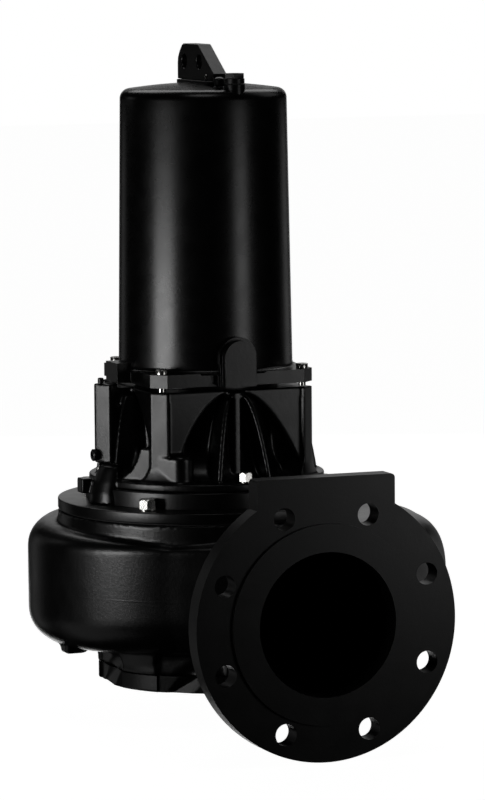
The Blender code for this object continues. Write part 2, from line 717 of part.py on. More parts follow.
def spin_section(section, steps):
    """Sweep a half section that changes with the angle once round the axis, and close the middle."""
    bm = bmesh.new()
    rows = []
    for index in range(steps):
        angle = 2 * math.pi * index / steps
        row = [bm.verts.new(polar(radius, angle, height)) for radius, height in section(*spiral_size(angle))]
        rows.append(row)
    for index in range(steps):
        here, there = rows[index], rows[(index + 1) % steps]
        for side in range(len(here) - 1):
            bm.faces.new((here[side], here[side + 1], there[side + 1], there[side]))
    for end in (0, -1):
        height = sum(row[end].co.z for row in rows) / steps
        hub = bm.verts.new((0.0, 0.0, height))
        for index in range(steps):
            bm.faces.new((rows[index][end], rows[(index + 1) % steps][end], hub))
    return bm


def duct(start_half, end_radius, reach, sides):
    """Swept duct from the spiral to the flange: a rounded oblong that turns into a circle."""
    steps = 10
    start_width, start_height = start_half
    finish = Vector((0.0, -reach))
    rings = []
    for index in range(steps + 1):
        share = index / steps
        back = 1 - share
        middle = (DUCT_START * back ** 3 + DUCT_LEAVE * (3 * back * back * share)
                  + DUCT_ARRIVE * (3 * back * share * share) + finish * share ** 3)
        ahead = ((DUCT_LEAVE - DUCT_START) * (3 * back * back)
                 + (DUCT_ARRIVE - DUCT_LEAVE) * (6 * back * share)
                 + (finish - DUCT_ARRIVE) * (3 * share * share))
        if index == steps:
            ahead = Vector((0.0, -1.0))
        ahead.normalize()
        across = Vector((-ahead.y, ahead.x))
        blend = smooth(share)
        half = start_width + (end_radius - start_width) * blend
        height = start_height + (end_radius - start_height) * blend
        power = 2 + 1.2 * (1 - blend)
        ring = []
        for side in range(sides):
            angle = 2 * math.pi * side / sides
            c, s = math.cos(angle), math.sin(angle)
            u = half * math.copysign(abs(c) ** (2 / power), c)
            w = height * math.copysign(abs(s) ** (2 / power), s)
            ring.append((middle.x + across.x * u, middle.y + across.y * u, w))
        rings.append(ring)
    return loft(rings)


def build_casing():
    casing = place_mesh("volute_casing", spin_section(outer_section, 48), BLACK_PAINT)
    outside = make_tool("duct_outside", duct(DUCT_OUTER_HALF, DUCT_OUTER_RADIUS, FLANGE_BACK, 32))
    webs = [make_tool(f"base_web_{index + 1}", base_web(index)) for index in range(WEBS)]
    join(casing, outside, turned("casing_base", base_outline(), 44), make_tool("casing_leg", leg()), *webs)
    opening = upright(COVER_OPENING_RADIUS, (IMPELLER_TOP, CASING_TOP + 0.02), sides=52)
    suction = upright(PORT_RADIUS, (SUCTION_COVER_BOTTOM, BASE_ROOT), sides=40)
    passage_end = FLANGE_BACK + 0.01
    cut(casing, make_tool("neck_trim", upright(NECK_TRIM_RADIUS, (CASING_TOP, 2 * CASING_TOP), sides=44)),
        make_tool("passage", spin_section(inner_section, 36)),
        make_tool("duct_inside", duct(DUCT_INNER_HALF, PORT_RADIUS, passage_end, 28)),
        make_tool("cover_opening", opening), make_tool("suction_bore", suction),
        *[make_tool(f"panel_{index + 1}", panel(index)) for index in range(WEBS)])


def leg():
    """Small tapered foot under the left of the spiral."""
    bm = bmesh.new()
    bmesh.ops.create_cube(bm, size=1.0)
    bmesh.ops.scale(bm, verts=bm.verts, vec=LEG_SIZE)
    low = [vert for vert in bm.verts if vert.co.z < 0]
    bmesh.ops.scale(bm, verts=low, vec=(LEG_TAPER, LEG_TAPER, 1.0))
    bmesh.ops.translate(bm, verts=bm.verts, vec=(*LEG_PLACE, LEG_BOTTOM + LEG_SIZE[2] / 2))
    return bm


def base_outline():
    """Round base under the spiral."""
    return [(0.0, BASE_ROOT), (BASE_RADIUS + 0.001, BASE_ROOT), (BASE_RADIUS, BASE_BOTTOM),
            (0.0, BASE_BOTTOM)]


def base_web(index):
    """Web that runs up the base and flares out into the spiral's wall above it."""
    middle = 2 * math.pi * (index + 0.5) / WEBS
    levels, spokes = 6, 4
    low, high = WEB_RISE
    rings = []
    for level in range(levels + 1):
        share = level / levels
        height = low + (high - low) * share
        half = WEB_HALF_ANGLE + WEB_FLARE * share
        ring = [polar(WEB_ROOT_RADIUS, middle + half, height), polar(WEB_ROOT_RADIUS, middle - half, height)]
        for spoke in range(spokes + 1):
            angle = middle - half + 2 * half * spoke / spokes
            wall = spiral_size(angle)[0] - 0.001
            ring.append(polar(BASE_RADIUS - 0.0005 + (wall - BASE_RADIUS) * smooth(share), angle, height))
        rings.append(ring)
    return loft(rings)


def panel(index, low=BASE_BOTTOM - 0.01):
    """Recess between two webs of the base, up to just under the spiral above it."""
    middle = 2 * math.pi * index / WEBS
    half = PANEL_HALF_ANGLE
    steps = 6
    under = min(spiral_size(middle + side * half)[2] for side in (-1, 0, 1))
    inner = BASE_RADIUS - PANEL_DEPTH
    outline = []
    for step in range(steps + 1):
        outline.append(polar(inner, middle - half + 2 * half * step / steps, 0.0)[:2])
    for step in range(steps, -1, -1):
        outline.append(polar(PANEL_REACH, middle - half + 2 * half * step / steps, 0.0)[:2])
    return prism(outline, "Z", low, min(PANEL_TOP, under - 0.001))


def build_suction_cover():
    """Ring under the base, recessed between the webs like the base above it."""
    top = BASE_BOTTOM - GAP
    edge, mouth = SUCTION_COVER_EDGE, SUCTION_MOUTH_EDGE
    cover = turned("suction_cover", [(PORT_RADIUS, top), (SUCTION_COVER_RADIUS, top),
                                     (SUCTION_COVER_RADIUS - edge / 3, SUCTION_COVER_BOTTOM + edge * 2 / 3),
                                     (SUCTION_COVER_RADIUS - edge, SUCTION_COVER_BOTTOM),
                                     (PORT_RADIUS + mouth, SUCTION_COVER_BOTTOM),
                                     (PORT_RADIUS, SUCTION_COVER_BOTTOM + mouth)], 44, BLACK_PAINT)
    low = SUCTION_COVER_BOTTOM - 0.01
    cut(cover, *[make_tool(f"cover_panel_{index + 1}", panel(index, low)) for index in range(WEBS)])


# Discharge flange with its guide claw

def build_flange():
    front = -PORT_REACH + RAISED_FACE_HEIGHT
    back = front + FLANGE_THICKNESS
    flange = place_mesh("discharge_flange", along_y(FLANGE_RADIUS, (front, back), sides=72), BLACK_PAINT)
    side, top = CLAW_HALF_WIDTH - CLAW_CORNER, CLAW_TOP - CLAW_CORNER
    outline = [(-CLAW_HALF_WIDTH, 0.0), (CLAW_HALF_WIDTH, 0.0)]
    outline += arc((side, top), CLAW_CORNER, 0, 90, 3)
    outline += arc((-side, top), CLAW_CORNER, 90, 180, 3)
    join(flange, make_tool("claw", prism(outline, "Y", front, back)),
         make_tool("raised_face", along_y(RAISED_FACE_RADIUS, (-PORT_REACH, front + 0.005), sides=60)))
    reach = (-PORT_REACH - 0.02, back + 0.02)
    holes = [make_tool("port", along_y(PORT_RADIUS, reach, sides=48))]
    for index in range(BOLT_HOLES):
        angle = 2 * math.pi * (index + 0.5) / BOLT_HOLES
        centre = (BOLT_CIRCLE_RADIUS * math.cos(angle), BOLT_CIRCLE_RADIUS * math.sin(angle))
        holes.append(make_tool(f"flange_hole_{index + 1}", along_y(BOLT_HOLE_RADIUS, reach, centre, 20)))
    cut(flange, *holes)


# Impeller and shaft, seen through the suction opening

def vane(index):
    """One backward-curved vane under the impeller's disc."""
    steps = 6
    length = IMPELLER_RADIUS - VANE_RIM_MARGIN - VANE_START
    rings = []
    for step in range(steps + 1):
        share = step / steps
        angle = 2 * math.pi * index / IMPELLER_VANES + VANE_SWEEP * share
        middle = Vector(polar(VANE_START + length * share, angle, 0.0))
        across = Vector(polar(VANE_HALF_WIDTH, angle + QUARTER, 0.0))
        near, far = middle - across, middle + across
        rings.append([(near.x, near.y, HUB_BOTTOM), (far.x, far.y, HUB_BOTTOM), (far.x, far.y, VANE_TOP),
                      (near.x, near.y, VANE_TOP)])
    return loft(rings)


def build_impeller():
    outline = [(0.0, IMPELLER_TOP), (IMPELLER_RADIUS, IMPELLER_TOP), (IMPELLER_RADIUS, IMPELLER_RIM_BOTTOM)]
    impeller = turned("impeller", outline + list(HUB_PROFILE) + [(0.0, HUB_BOTTOM)], 40, CAST_IRON)
    join(impeller, *[make_tool(f"vane_{index + 1}", vane(index)) for index in range(IMPELLER_VANES)])
    nut = upright(WHEEL_NUT_RADIUS, (WHEEL_NUT_BOTTOM, HUB_BOTTOM - GAP), (0.0, 0.0), 6)
    place_mesh("impeller_bolt", nut, BARE_STEEL)
    place_mesh("pump_shaft", upright(SHAFT_RADIUS, (IMPELLER_TOP + GAP, COVER_TOP), sides=32), SHAFT_STEEL)


build_motor_housing()
build_lifting_lug()
build_top_fittings()
build_corner_screws()
build_seal_housing()
build_column_fittings()
build_bolts()
build_rings()
build_casing()
build_suction_cover()
build_flange()
build_impeller()
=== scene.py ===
"""Looks of a submersible sewage pump, hung by its discharge flange.

Sizes are metres about the pump's upright axis, with z = 0 at the height of the discharge
centre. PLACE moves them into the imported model's frame.
"""
import math

import bmesh
import bpy
from mathutils import Matrix, Vector


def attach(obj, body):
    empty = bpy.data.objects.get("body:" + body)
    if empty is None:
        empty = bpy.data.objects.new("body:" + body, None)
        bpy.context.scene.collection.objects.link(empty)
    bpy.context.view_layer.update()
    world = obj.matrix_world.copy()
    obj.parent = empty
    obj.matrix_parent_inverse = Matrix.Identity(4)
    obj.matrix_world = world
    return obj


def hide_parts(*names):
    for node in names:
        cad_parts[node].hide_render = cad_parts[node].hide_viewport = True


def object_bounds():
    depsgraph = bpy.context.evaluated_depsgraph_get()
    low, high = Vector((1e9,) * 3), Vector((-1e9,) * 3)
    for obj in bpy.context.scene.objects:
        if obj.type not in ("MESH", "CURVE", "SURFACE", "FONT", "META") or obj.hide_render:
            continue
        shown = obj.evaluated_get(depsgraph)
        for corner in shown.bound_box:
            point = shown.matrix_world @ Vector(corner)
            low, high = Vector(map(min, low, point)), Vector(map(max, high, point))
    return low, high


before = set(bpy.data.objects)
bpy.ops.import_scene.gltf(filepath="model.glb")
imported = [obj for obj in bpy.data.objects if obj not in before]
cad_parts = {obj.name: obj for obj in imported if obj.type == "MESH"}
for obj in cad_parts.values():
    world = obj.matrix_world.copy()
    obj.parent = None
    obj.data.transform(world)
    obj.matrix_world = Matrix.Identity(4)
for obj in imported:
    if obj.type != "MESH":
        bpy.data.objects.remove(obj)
cad_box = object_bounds()

PORT_REACH = 0.348
FACE_POINT_HEIGHT = 0.089
PLACE = Vector((0.0, PORT_REACH, -FACE_POINT_HEIGHT))
QUARTER = math.pi / 2
GAP = 0.0003
OVERSHOOT = 0.001
CLEAR = 0.01

# Each cast skin's voxel, smoothing passes and share of faces kept
HOUSING_SKIN = (0.0014, 4, 0.38)
CASING_SKIN = (0.0023, 4, 0.42)
WHEEL_SKIN = (0.0013, 3, 0.5)

# Seam of the casting's mould on the spiral
PARTING_WIDTH = 0.0012
PARTING_HEIGHT = 0.00010

# The photograph's viewpoint, fitted to the flange's circles
CAMERA_RIGHT = Vector((0.93246802, -0.36115647, -0.0083305))
CAMERA_UP = Vector((0.04643983, 0.0969703, 0.99420325))
CAMERA_PLACE = (-1.67969, -4.11074, 0.62121)
CAMERA_SENSOR = 36.0
CAMERA_LENS = 198.24
CAMERA_AZIMUTH = -112.2

# Floor and light
FLOOR_HALF = 14.0
FLOOR_GLOW = 0.985
WORLD_GLOW = 0.003
LIGHT_AIM = Vector((0.0, PORT_REACH, 0.0))

# Name, degrees round from the camera, degrees up, distance, size and radiance; True also lights diffusely
SOFTBOXES = (
    ("left_strip", -53, 2.7, 1.30, (0.58, 0.285), 8.8),
    ("right_strip", 51, 4.5, 1.30, (0.36, 0.50), 1.8),
    ("top_box", 0, 66, 1.60, (0.50, 0.40), 1.2, True),
    ("back_box", 180, -6, 2.60, (1.60, 2.40), 0.5),
    ("back_left", -138, -8, 1.80, (0.45, 1.20), 0.15),
    ("back_left_high", -117, 21, 1.80, (0.40, 0.35), 0.25),
    ("back_right", 140, -8, 1.80, (0.60, 1.20), 0.25),
    ("back_high", 180, 52, 2.60, (2.60, 1.60), 1.4),
    ("back_low", 180, -20, 2.20, (1.50, 0.70), 2.2),
    ("right_high", 115, 40, 2.40, (1.20, 1.20), 0.30),
    ("low_left", -58, -16, 1.60, (0.70, 0.40), 0.4),
    ("floor_glow", -82, -38, 1.60, (1.30, 1.10), 0.17),
)

# Discharge flange
RAISED_FACE_RADIUS = 0.104
RAISED_FACE_HEIGHT = 0.003
FLANGE_RADIUS = 0.1425
FLANGE_THICKNESS = 0.0229
PORT_RADIUS = 0.075
BOLT_CIRCLE_RADIUS = 0.120
BOLT_HOLE_RADIUS = 0.0115
BOLT_HOLES = 8
CLAW_HALF_WIDTH = 0.0757
CLAW_TOP = 0.1518
CLAW_CORNER = 0.0045
FLANGE_EDGE = 0.0012

# Hex heads stand with one flat towards the main light
HEX_TURN = math.radians(-23.5)

# Motor
MOTOR_RADIUS_LOW = 0.0944
MOTOR_RADIUS_HIGH = 0.0902
MOTOR_TOP = 0.5420
MOTOR_EDGE_RADIUS = 0.011
CROWN_DROP = 0.0058
ROOT_FILLET = 0.0050
PLATE_HALF = 0.0928
FRONT_CORNER_CUT = 0.0144
BACK_CORNER_CUT = 0.0240
PLATE_BOTTOM = 0.2213
PLATE_TOP = 0.2355
PLATE_EDGE = 0.0013
PLATE_RECESS = 0.0024
PLATE_RECESS_SPAN = (-0.0765, -0.0200)
TAB_HALF_WIDTH = 0.0177
TAB_TOP = 0.2704
TAB_FACE = 0.107
TAB_BACK_HALF_WIDTH = 0.0211
TAB_BACK_FACE = 0.0985
TAB_ROOT = 0.070
CAP_FACE = 0.1085
CAP_HALF_WIDTH = 0.018
CAP_TOP = 0.2430
SCREW_CIRCLES = (0.1137, 0.1137, 0.1075, 0.1075)
CORNER_SCREW_RADIUS = 0.0065
CORNER_SCREW_HEIGHT = 0.0052
CORNER_SCREW_CHAMFER = 0.0007
CORNER_SCREW_EDGE = 0.0002
CORNER_SOCKET_FLATS = 0.0050
CORNER_SOCKET_DEPTH = 0.0028
CORNER_SHANK_RADIUS = 0.0040

# Lifting lug on its pad, and the fittings beside it
LUG_HALF_THICKNESS = 0.008
LUG_BACK = 0.0575
LUG_CREST = -0.0025
LUG_FRONT = -0.0520
LUG_SEAT = 0.5445
LUG_TOP = 0.5830
LUG_NOSE_HEIGHT = 0.5520
LUG_CORNER = 0.004
LUG_HOLE_RADIUS = 0.008
LUG_HOLES = ((0.0367, 0.5640), (-0.0090, 0.5642))
LUG_EDGE = 0.0012
# How far the corners of the lug's back lie in from its back and down from its top
LUG_BACK_CORNERS = ((0.0, 0.0210), (0.0013, 0.0150), (0.0064, 0.0080), (0.0138, 0.0015), (0.0178, 0.0))
PAD_HALF_WIDTH = 0.013
PAD_EDGE = 0.0008
PAD_CENTRES = (0.044, -0.043)
PAD_ROOT = 0.530
SCREW_PLACE = (-0.0053, -0.0630)
SCREW_RADIUS = 0.0055
SCREW_HEIGHT = 0.0100
SCREW_DOME = 0.0032
SCREW_SEAT = 0.5392
SCREW_SEAT_RADIUS = 0.0065
PIN_PLACE = (-0.0115, -0.0400)
PIN_RADIUS = 0.0014
PIN_HEIGHT = 0.0070
GLAND_PLACE = (0.0070, -0.0768)
GLAND_BOSS_RADIUS = 0.0110
GLAND_BOSS_TOP = 0.5425
GLAND_RADIUS = 0.0106
GLAND_HEIGHT = 0.0055
GLAND_BORE_RADIUS = 0.0050
NUT_RADIUS = 0.0112
NUT_HEIGHT = 0.0050
NUT_CHAMFER = (0.0014, 0.0016)

# Chamfers and washers of the hex heads
HEAD_EDGE = 0.00025
HEAD_SINK = 0.0002
HEAD_SPARE = 0.0004
HEAD_CHAMFER_DROP = 0.0022
HEAD_CROWN_SHARE = 0.47
HEAD_ROUND_SHARE = 1.02
HOUSING_WASHER = (0.0072, 0.0014)
COVER_WASHER = (0.0093, 0.0018)
WASHER_EDGE = 0.0003

# Seal housing
HOUSING_TOP = 0.2163
HOUSING_BOTTOM = 0.1115
FOOT_TOP = 0.1200
FOOT_RADIUS = 0.128
FOOT_EDGE = 0.0015
CORE_TOP_RADIUS = 0.0800
CORE_WAIST = (0.0815, 0.1800)
CORE_FLARE_RADIUS = 0.0825
CORE_FLARE = (0.0265, 0.0420)
FACE_RECESS = 0.0038
PILASTER_MARGIN = 0.0010
ARCH_TOP = 0.2145
ARCH_DROP = 14.8
ARCH_HALF_WIDTH = 0.0770
POCKET_DEPTH = 0.026
RIB_HALF_WIDTH = 0.0047
RIB_CHAMFER = 0.0007
RIB_SKEW = 0.0004
RIB_NOSE = 0.0905
RIB_ROOT = 0.0740
FIN_HALF_WIDTH = 0.0028
FIN_TOP = 0.2110
FIN_BOTTOM = 0.1160
FIN_START = (0.0062, 0.0935)
FIN_TRAVEL = (0.0228, 0.0250)
FIN_ROOT = 0.073
FIN_NOSE = 0.0006
WEB_HALF_WIDTH = 0.010
WEB_INNER = 0.050
WEB_OUTER = 0.118
WEB_TOP = 0.205
APRON_TOP = 0.1500
APRON_INNER = 0.070
APRON_CURVE = 2.5
APRON_REACH = (0.1205, 0.1274)
APRON_HALF_ANGLE = (math.radians(4.6), math.radians(15.0))
CHEEK_TOP = 0.2125
CHEEK_REACH = (0.0900, 0.1080)
CHEEK_HALF_ANGLE = (math.radians(7), math.radians(27))
BOSS_PLACE = (-0.0638, -0.0905)
BOSS_RADIUS = 0.0142
BOSS_TOP = 0.1498
BOSS_EDGE = 0.0055
BOSS_SINK = 0.003
BOSS_FILL = ((-0.0886, -0.0823), (-0.0748, -0.0994), (-0.0638, -0.0905), (-0.0500, -0.0850),
             (-0.0700, -0.0700))
EAR_INNER = 0.1345
EAR_OUTER = 0.1465
EAR_HALF_WIDTH = 0.009
EAR_TOP = 0.1190
EAR_BOTTOM = 0.1030
LUG_FOOT_AZIMUTH = math.radians(-169)
LUG_FOOT_CLEARANCE = 0.0006
# Height, distance from the axis, half depth and half width of the leg's rings
FOOT_LEG = ((0.0942, 0.1270, 0.0155, 0.0245), (0.1060, 0.1265, 0.0145, 0.0225),
            (0.1180, 0.1255, 0.0120, 0.0200), (0.1290, 0.1225, 0.0105, 0.0180),
            (0.1343, 0.1220, 0.0085, 0.0160))
FOOT_LEG_SIDES = 32
WEDGE_TURN = math.radians(-51)
WEDGE_OUTLINE = ((0.010, 0.1200), (-0.044, 0.1200), (-0.036, 0.1235), (-0.025, 0.1300), (-0.017, 0.1410),
                 (-0.012, 0.1560), (0.010, 0.1560))
WEDGE_DEPTH = (-0.1196, -0.0850)
FRONT_ARCH_NARROWING = 0.0085
COLUMN_PLACE = 0.1154
COLUMN_RADIUS = 0.0126
COLUMN_FLAT = 0.0076
COLUMN_FLAT_AZIMUTH = math.radians(-142)
COLUMN_BOTTOM = 0.1345
COLUMN_TOP = 0.2201
COLUMN_WEB_HALF_WIDTH = 0.0095
PLUG_RADIUS = 0.0065
PLUG_HEIGHT = 0.0040
PLUG_LEVEL = 0.1432
PLUG_SOCKET = 0.0060
STUD_PLACE = (-0.1210, 0.0)
STUD_RADIUS = 0.0032
STUD_HEIGHT = 0.0065
HOUSING_BOLT_CIRCLE = 0.1185
HOUSING_BOLT_FLATS = 0.013
HOUSING_BOLT_HEIGHT = 0.0110

# Cover
SPIGOT_UPPER_RADIUS = 0.078
RING_RADIUS = 0.132
RING_EDGE = 0.0016
COVER_RADIUS = 0.1623
COVER_EDGE = 0.0014
COVER_TOP = 0.0934
COVER_BOTTOM = 0.0819
SPIGOT_RADIUS = 0.1392
SPIGOT_BOTTOM = 0.0520
COVER_OPENING_RADIUS = SPIGOT_RADIUS + 0.0006
GASKET_RADII = (0.1415, 0.1600)
COVER_BOLT_CIRCLE = 0.144
COVER_BOLT_FLATS = 0.0165
COVER_BOLT_HEIGHT = 0.0122
COVER_BOLT_DEGREES = (-136.5, -82.5, -46.5, 7.5, 43.5, 97.5, 133.5)

# Casing
TONGUE_ANGLE = math.radians(235)
SPIRAL_SWEEP = math.radians(235)
SPIRAL_RADIUS_START = 0.170
SPIRAL_RADIUS_END = 0.249
SPIRAL_TOP_START = 0.057
SPIRAL_TOP_END = 0.079
SPIRAL_TOP_LIMIT = 0.0700
SPIRAL_BOTTOM_START = 0.058
SPIRAL_BOTTOM_END = 0.080
SHOULDER_RADIUS = 0.030
SHOULDER_MARGIN = 0.002
LOWER_CORNER = (0.046, 0.040)
CASING_INNER = 0.050
CASING_FLOOR = 0.110
CASING_WALL = 0.011
PASSAGE_CORNER = 0.024
CASING_TOP = 0.0805
NECK_SPARE = 0.004
NECK_TRIM_RADIUS = COVER_RADIUS + 0.02
DUCT_START = Vector((0.1735, 0.0))
DUCT_LEAVE = Vector((0.215, -0.115))
DUCT_ARRIVE = Vector((0.015, -0.190))
DUCT_OUTER_HALF = (0.074, 0.0725)
DUCT_INNER_HALF = (0.063, 0.0615)
DUCT_OUTER_RADIUS = 0.0875
DUCT_STRAIGHTENS = (0.8, 0.2)
DUCT_SQUARENESS = 1.2
FLANGE_BACK = PORT_REACH - RAISED_FACE_HEIGHT - FLANGE_THICKNESS - GAP

# Base of the casing and its suction cover, both with webs round a slightly smaller drum
BASE_RADIUS = 0.1205
BASE_ROOT = -0.040
BASE_BOTTOM = -0.0885
PANEL_DEPTH = 0.004
PANEL_TOP = -0.0650
PANEL_REACH = 0.14
PANEL_HALF_ANGLE = math.radians(18.2)
PANEL_CORNER_ANGLE = math.radians(3.6)
PANEL_EDGE = 0.0010
WEBS = 6
WEB_HALF_ANGLE = math.radians(12.6)
WEB_FLARE = math.radians(10)
WEB_ROOT_RADIUS = 0.095
WEB_RISE = (-0.0870, -0.0200)
LEG_PLACE = (-0.1560, 0.0)
LEG_SIZE = (0.0260, 0.0250, 0.0290)
LEG_BOTTOM = -0.0705
LEG_TAPER = 0.86
LEG_RIB = ((-0.1480, -0.045), (-0.1480, -0.0690), (-0.1170, -0.0600), (-0.1170, -0.045))
LEG_RIB_HALF_WIDTH = 0.009
SUCTION_COVER_BOTTOM = -0.1065
SUCTION_COVER_RADIUS = 0.1200
SUCTION_COVER_EDGE = 0.003
SUCTION_MOUTH_EDGE = 0.005

# Impeller
IMPELLER_RADIUS = 0.105
IMPELLER_TOP = 0.0440
IMPELLER_RIM_BOTTOM = 0.0350
HUB_BOTTOM = 0.0040
HUB_PROFILE = ((0.0340, 0.0330), (0.0280, 0.0080), (0.0240, HUB_BOTTOM))
IMPELLER_VANES = 6
VANE_START = 0.024
VANE_RIM_MARGIN = 0.004
VANE_SWEEP = 0.7
VANE_HALF_WIDTH = 0.0035
VANE_TOP = 0.037
WHEEL_NUT_RADIUS = 0.0110
WHEEL_NUT_BOTTOM = -0.0060
WHEEL_NUT_CHAMFER = (0.0018, 0.0025)
SHAFT_RADIUS = 0.0125


# Making solids

def work(bm):
    """A bmesh as an object that is linked while it is worked on."""
    mesh = bpy.data.meshes.new("work")
    bmesh.ops.recalc_face_normals(bm, faces=bm.faces)
    bm.to_mesh(mesh)
    bm.free()
    thing = bpy.data.objects.new("work", mesh)
    bpy.context.scene.collection.objects.link(thing)
    return thing


def bake(thing):
    """Apply a thing's modifiers to its mesh."""
    evaluated = thing.evaluated_get(bpy.context.evaluated_depsgraph_get())
    mesh = bpy.data.meshes.new_from_object(evaluated)
    thing.modifiers.clear()
    thing.data = mesh
    return thing


def carve(base, joined=(), cuts=()):
    """Join lumps to a base and then cut tools out of it."""
    for operation, tools in (("UNION", joined), ("DIFFERENCE", cuts)):
        if not tools:
            continue
        group = bpy.data.collections.new(operation)
        bpy.context.scene.collection.children.link(group)
        for tool in tools:
            bpy.context.scene.collection.objects.unlink(tool)
            group.objects.link(tool)
        step = base.modifiers.new(operation, "BOOLEAN")
        step.operand_type = "COLLECTION"
        step.collection = group
        step.operation = operation
        step.solver = "EXACT"
        bake(base)
        for tool in tools:
            bpy.data.objects.remove(tool)
        bpy.data.collections.remove(group)
    return base


def cast(thing, voxel, passes, keep=1.0):
    """Skin a solid with an even mesh and soften it, which rounds its edges and fills its corners."""
    skin = thing.modifiers.new("skin", "REMESH")
    skin.mode = "VOXEL"
    skin.voxel_size = voxel
    skin.use_smooth_shade = True
    soften = thing.modifiers.new("soften", "SMOOTH")
    soften.factor = 0.5
    soften.iterations = passes
    if keep < 1.0:
        thin = thing.modifiers.new("thin", "DECIMATE")
        thin.ratio = keep
    return bake(thing)


def edge(thing, width, segments=3, limit=35):
    """Round a solid's sharp edges."""
    bevel = thing.modifiers.new("edge", "BEVEL")
    bevel.width = width
    bevel.segments = segments
    bevel.limit_method = "ANGLE"
    bevel.angle_limit = math.radians(limit)
    bevel.harden_normals = True
    bevel.use_clamp_overlap = True
    weigh = thing.modifiers.new("weigh", "WEIGHTED_NORMAL")
    weigh.keep_sharp = True
    for face in thing.data.polygons:
        face.use_smooth = True
    return bake(thing)


def turn(bm, angle, axis="Z"):
    bmesh.ops.rotate(bm, verts=bm.verts, cent=(0, 0, 0), matrix=Matrix.Rotation(angle, 3, axis))
    return bm


def shift(bm, offset):
    bmesh.ops.translate(bm, verts=bm.verts, vec=offset)
    return bm


def box(x_range, y_range, z_range):
    bm = bmesh.new()
    bmesh.ops.create_cube(bm, size=1.0)
    spans = (x_range, y_range, z_range)
    bmesh.ops.scale(bm, verts=bm.verts, vec=[high - low for low, high in spans])
    return shift(bm, [(high + low) / 2 for low, high in spans])


def rod(radius, span, centre=(0.0, 0.0), axis="Z", sides=96):
    """A cylinder along an axis, with its centre given in the two other coordinates."""
    bm = bmesh.new()
    low, high = span
    bmesh.ops.create_cone(bm, cap_ends=True, segments=sides, radius1=radius, radius2=radius, depth=high - low)
    middle = (low + high) / 2
    if axis == "Z":
        return shift(bm, (centre[0], centre[1], middle))
    if axis == "Y":
        return shift(turn(bm, QUARTER, "X"), (centre[0], middle, centre[1]))
    return shift(turn(bm, QUARTER, "Y"), (middle, centre[0], centre[1]))


def prism(outline, direction, start, end):
    """A flat outline of two coordinates, pushed from start to end along X, Y or Z."""
    bm = bmesh.new()
    slot = "XYZ".index(direction)

    def corner(pair, level):
        point = list(pair)
        point.insert(slot, level)
        return point

    face = bm.faces.new([bm.verts.new(corner(pair, start)) for pair in outline])
    pushed = bmesh.ops.extrude_face_region(bm, geom=[face])
    lifted = [part for part in pushed["geom"] if isinstance(part, bmesh.types.BMVert)]
    step = [0.0, 0.0, 0.0]
    step[slot] = end - start
    bmesh.ops.translate(bm, verts=lifted, vec=step)
    return bm


def loft(rings):
    """Skin a row of equal point rings, with a cap at each end."""
    bm = bmesh.new()
    rows = [[bm.verts.new(point) for point in ring] for ring in rings]
    for here, there in zip(rows, rows[1:]):
        for side in range(len(here)):
            after = (side + 1) % len(here)
            bm.faces.new((here[side], here[after], there[after], there[side]))
    bm.faces.new(rows[0])
    bm.faces.new(rows[-1])
    return bm


def lathe(outline, sides, centre=(0.0, 0.0)):
    """A turned solid from (radius, height) points, top to bottom down its outer side."""
    bm = bmesh.new()
    hollow = min(radius for radius, height in outline) > 0.0
    columns = []
    for index in range(sides):
        angle = 2 * math.pi * index / sides
        columns.append([(centre[0] + radius * math.cos(angle), centre[1] + radius * math.sin(angle), height)
                        for radius, height in outline])
    tips = {}
    rows = []
    for column in columns:
        row = []
        for place, point in enumerate(column):
            if outline[place][0] == 0.0:
                if place not in tips:
                    tips[place] = bm.verts.new(point)
                row.append(tips[place])
            else:
                row.append(bm.verts.new(point))
        rows.append(row)
    steps = len(outline) if hollow else len(outline) - 1
    for index in range(sides):
        here, there = rows[index], rows[(index + 1) % sides]
        for place in range(steps):
            after = (place + 1) % len(outline)
            corners = []
            for vert in (here[place], here[after], there[after], there[place]):
                if vert not in corners:
                    corners.append(vert)
            if len(corners) > 2:
                bm.faces.new(corners)
    return bm


def arc(centre, radius, start, end, steps):
    """Points of an arc in a flat outline, angles in degrees."""
    points = []
    for index in range(steps + 1):
        angle = math.radians(start + (end - start) * index / steps)
        points.append((centre[0] + radius * math.cos(angle), centre[1] + radius * math.sin(angle)))
    return points


def square_outline(half, front_cut, back_cut):
    """A square seen from above, with its corners cut at 45 degrees."""
    front, back = half - front_cut, half - back_cut
    return [(-half, -front), (-front, -half), (front, -half), (half, -front),
            (half, back), (back, half), (-back, half), (-half, back)]


def polar(radius, angle, height):
    return radius * math.cos(angle), radius * math.sin(angle), height


def between(ends, share):
    """A value part of the way from the first end to the second."""
    return ends[0] + (ends[1] - ends[0]) * share


def fan(middle, half, inner, height, spokes, reach):
    """A level ring from two points on an inner circle out to an arc; reach is a function of the angle."""
    ring = [polar(inner, middle + half, height), polar(inner, middle - half, height)]
    for spoke in range(spokes + 1):
        angle = middle - half + 2 * half * spoke / spokes
        ring.append(polar(reach(angle), angle, height))
    return ring


def smooth(value):
    """Ease from 0 to 1 with level ends."""
    return value * value * (3 - 2 * value)


# Materials

